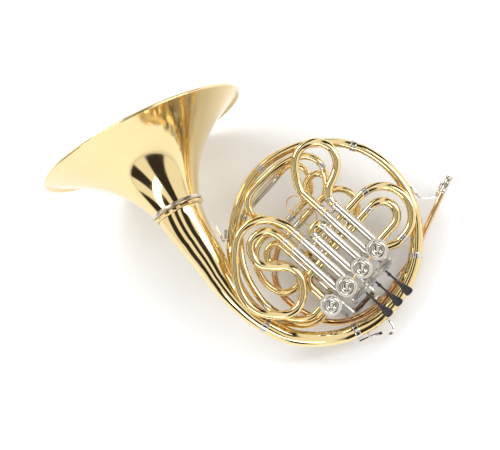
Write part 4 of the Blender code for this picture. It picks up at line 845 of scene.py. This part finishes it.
def buildBracket():
    # The hinge rod and the rail beside it, the stops between them, and the arms to the valves.
    spans = [leverPlaces(index)[3:] for index in range(3)]
    low, high = spans[2][0] - bracket["past"], spans[0][1] + bracket["past"]
    w, hinge = lever["hingeW"], lever["hingeA"]
    rail = hinge - bracket["rail"]
    grids = []
    for a, size in ((hinge, bracket["rod"]), (rail, bracket["railRadius"])):
        cut = bracket["chamfer"]
        rod = ab((a, low, w), (a, low + cut, w), (a, high - cut, w), (a, high, w))
        grids.append(ringsAlong(rod, np.array([size - cut, size, size, size - cut]) * mm, 24))
    for b in (low + bracket["stopIn"], (spans[2][1] + spans[1][0]) / 2,
              (spans[1][1] + spans[0][0]) / 2, high - bracket["stopIn"]):
        grids.append(ringsAlong(ab((rail, b, w), (rail + 3, b, w), (hinge, b, w)),
                                np.full(3, bracket["stop"]) * mm, 20))
    for a, b in tuple(zip(valves["a"], valves["b"]))[:3]:
        start, end = ab((a + bracket["armStart"], b, w), (rail - 1.4, b, w))
        grids.append(tieRings(start, end, bracket["arm"], bracket["foot"]))
    meshFromGrids("leverBracketSkin", grids, "nickelSilver", "horn", ("lever_bracket",))


def buildBumpers():
    # A cork under each lever.
    for index, name in enumerate(valves["names"][:3]):
        place = ab((lever["hingeA"] + bumper["from"], leverPlaces(index)[0],
                    lever["hingeW"] - bumper["under"]))[0]
        meshFromGrids(f"{name}Bumper", [lathe(bumper["profile"], place, axisW, 28)],
                      "corkBumper", f"{name}_lever")


buildLevers()
buildBracket()
buildBumpers()
print("levers made")


# Braces and fittings

bellBrace = {
    "radii": (2.0, 2.0, 1.4, 1.2, 1.2, 1.6, 2.0), "sides": 20,
    "route": ((-160.6, 22.6, -7), (-152.3, 6.2, -7), (-151.3, 3.4, -6.5), (-149.4, 1, -5),
              (-147.4, 3, -3), (-146.5, 6, -2.2), (-146.2, 17.6, -2)),
}
capTies = {  # short ties between neighbouring valves, near their caps
    "capTie": ((57.2, 24.9, 37.6), (57.5, 16.6, 37.6)),
    "capTieMiddle": ((58.7, -9, 37.6), (59.1, -17.3, 37.6)),
}


def buildBraces():
    # The bell's brace is a thin tube, and the cap ties widen to feet.
    tube("bell_brace", uv(*bellBrace["route"]), bellBrace["radii"], "nickelSilver",
         sides=bellBrace["sides"])
    for name, ends in capTies.items():
        meshFromGrids(name, [tieRings(*ab(*ends), 1.3, 1.8)], "lacqueredBrass")


def finishCadNodes():
    # The rotors and links keep their CAD shape in steel, and all other kept nodes are nickel.
    for name, node in frame["nodes"].items():
        steel = name.endswith(("_rotor", "_link"))
        node.data.materials.clear()
        node.data.materials.append(finishes["turnedSteel" if steel else "nickelSilver"])


buildBraces()
finishCadNodes()
print("fittings made")


# Floor, light and camera

studio = {
    "floorSize": 6.0, "floorColor": (0.93, 0.93, 0.92), "floorRough": 0.7, "distance": 2.2,
    "across": 0.715, "centre": (-111.5, 24.3), "sensor": 36.0,  # sizes in m, the centre in mm
}
lamps = {  # where each stands and its width and height, in m, and its power in W
    "keyLight": {"place": (-1.3, 1.1, 2.0), "size": (1.4, 0.7), "power": 26},
    "sideLight": {"place": (1.7, 0.4, 1.3), "size": (0.5, 1.6), "power": 15},
    "lowLight": {"place": (-0.2, -1.9, 1.2), "size": (1.8, 0.4), "power": 13},
}
lampTarget = (0, 0, 0.1)
air = {
    "color": (0.96, 0.97, 1.0, 1), "strength": 0.80, "panelScale": 0.55, "distortion": 2.2,
    "detail": 1, "darkFrom": 0.44, "dark": (0.035, 0.03, 0.028, 1), "paleFrom": 0.66,
    "pale": (1.0, 0.99, 0.96, 1),
}


def buildFloor():
    # One pale square under everything.
    half = studio["floorSize"] / 2
    mesh = bpy.data.meshes.new("floor")
    corners = [(-half, -half, 0), (half, -half, 0), (half, half, 0), (-half, half, 0)]
    mesh.from_pydata(corners, [], [(0, 1, 2, 3)])
    floor = bpy.data.objects.new("floor", mesh)
    bpy.context.scene.collection.objects.link(floor)
    material = bpy.data.materials.new("paleFloor")
    material.use_nodes = True
    shader = material.node_tree.nodes["Principled BSDF"]
    shader.inputs["Base Color"].default_value = (*studio["floorColor"], 1)
    shader.inputs["Roughness"].default_value = studio["floorRough"]
    mesh.materials.append(material)


def addLight(name, lamp):
    # A rectangular lamp that faces the target.
    data = bpy.data.lights.new(name, "AREA")
    data.shape = "RECTANGLE"
    data.size, data.size_y = lamp["size"]
    data.energy = lamp["power"]
    light = bpy.data.objects.new(name, data)
    light.location = lamp["place"]
    look = Vector(lampTarget) - Vector(lamp["place"])
    light.rotation_euler = look.to_track_quat("-Z", "Y").to_euler()
    bpy.context.scene.collection.objects.link(light)


def buildLight():
    # The lamps, and a world that is plain except where metal mirrors it.
    for name, lamp in lamps.items():
        addLight(name, lamp)
    world = bpy.data.worlds.new("studioAir")
    world.use_nodes = True
    nodes, links = world.node_tree.nodes, world.node_tree.links
    background = nodes["Background"]
    background.inputs["Color"].default_value = air["color"]
    background.inputs["Strength"].default_value = air["strength"]
    room = nodes.new("ShaderNodeBackground")  # what the metal mirrors: dark room, pale panels
    ways = nodes.new("ShaderNodeTexCoord")
    bands = nodes.new("ShaderNodeTexWave")
    bands.inputs["Scale"].default_value = air["panelScale"]
    bands.inputs["Distortion"].default_value = air["distortion"]
    bands.inputs["Detail"].default_value = air["detail"]
    panels = nodes.new("ShaderNodeValToRGB")
    dark, pale = panels.color_ramp.elements
    dark.position, dark.color = air["darkFrom"], air["dark"]
    pale.position, pale.color = air["paleFrom"], air["pale"]
    rays = nodes.new("ShaderNodeLightPath")
    choice = nodes.new("ShaderNodeMixShader")
    links.new(ways.outputs["Generated"], bands.inputs["Vector"])
    links.new(bands.outputs["Fac"], panels.inputs["Fac"])
    links.new(panels.outputs["Color"], room.inputs["Color"])
    links.new(rays.outputs["Is Glossy Ray"], choice.inputs["Fac"])
    links.new(background.outputs["Background"], choice.inputs[1])
    links.new(room.outputs["Background"], choice.inputs[2])
    links.new(choice.outputs["Shader"], nodes["World Output"].inputs["Surface"])
    bpy.context.scene.world = world
    bpy.context.scene.view_settings.view_transform = "Standard"


def buildCamera():
    # Straight above the body's own plane, with the body's right and up as the picture's.
    data = bpy.data.cameras.new("camera")
    data.sensor_width = studio["sensor"]
    data.lens = studio["sensor"] * studio["distance"] / studio["across"]
    data.dof.use_dof = False
    camera = bpy.data.objects.new("camera", data)
    bpy.context.scene.collection.objects.link(camera)
    place = uv((*studio["centre"], studio["distance"] / mm))[0]
    turned = np.eye(4)
    turned[:3, 0], turned[:3, 1], turned[:3, 2], turned[:3, 3] = axisU, axisV, axisW, place
    camera.matrix_world = Matrix(turned.tolist())
    bpy.context.scene.camera = camera


buildFloor()
buildLight()
buildCamera()
print("studio made")
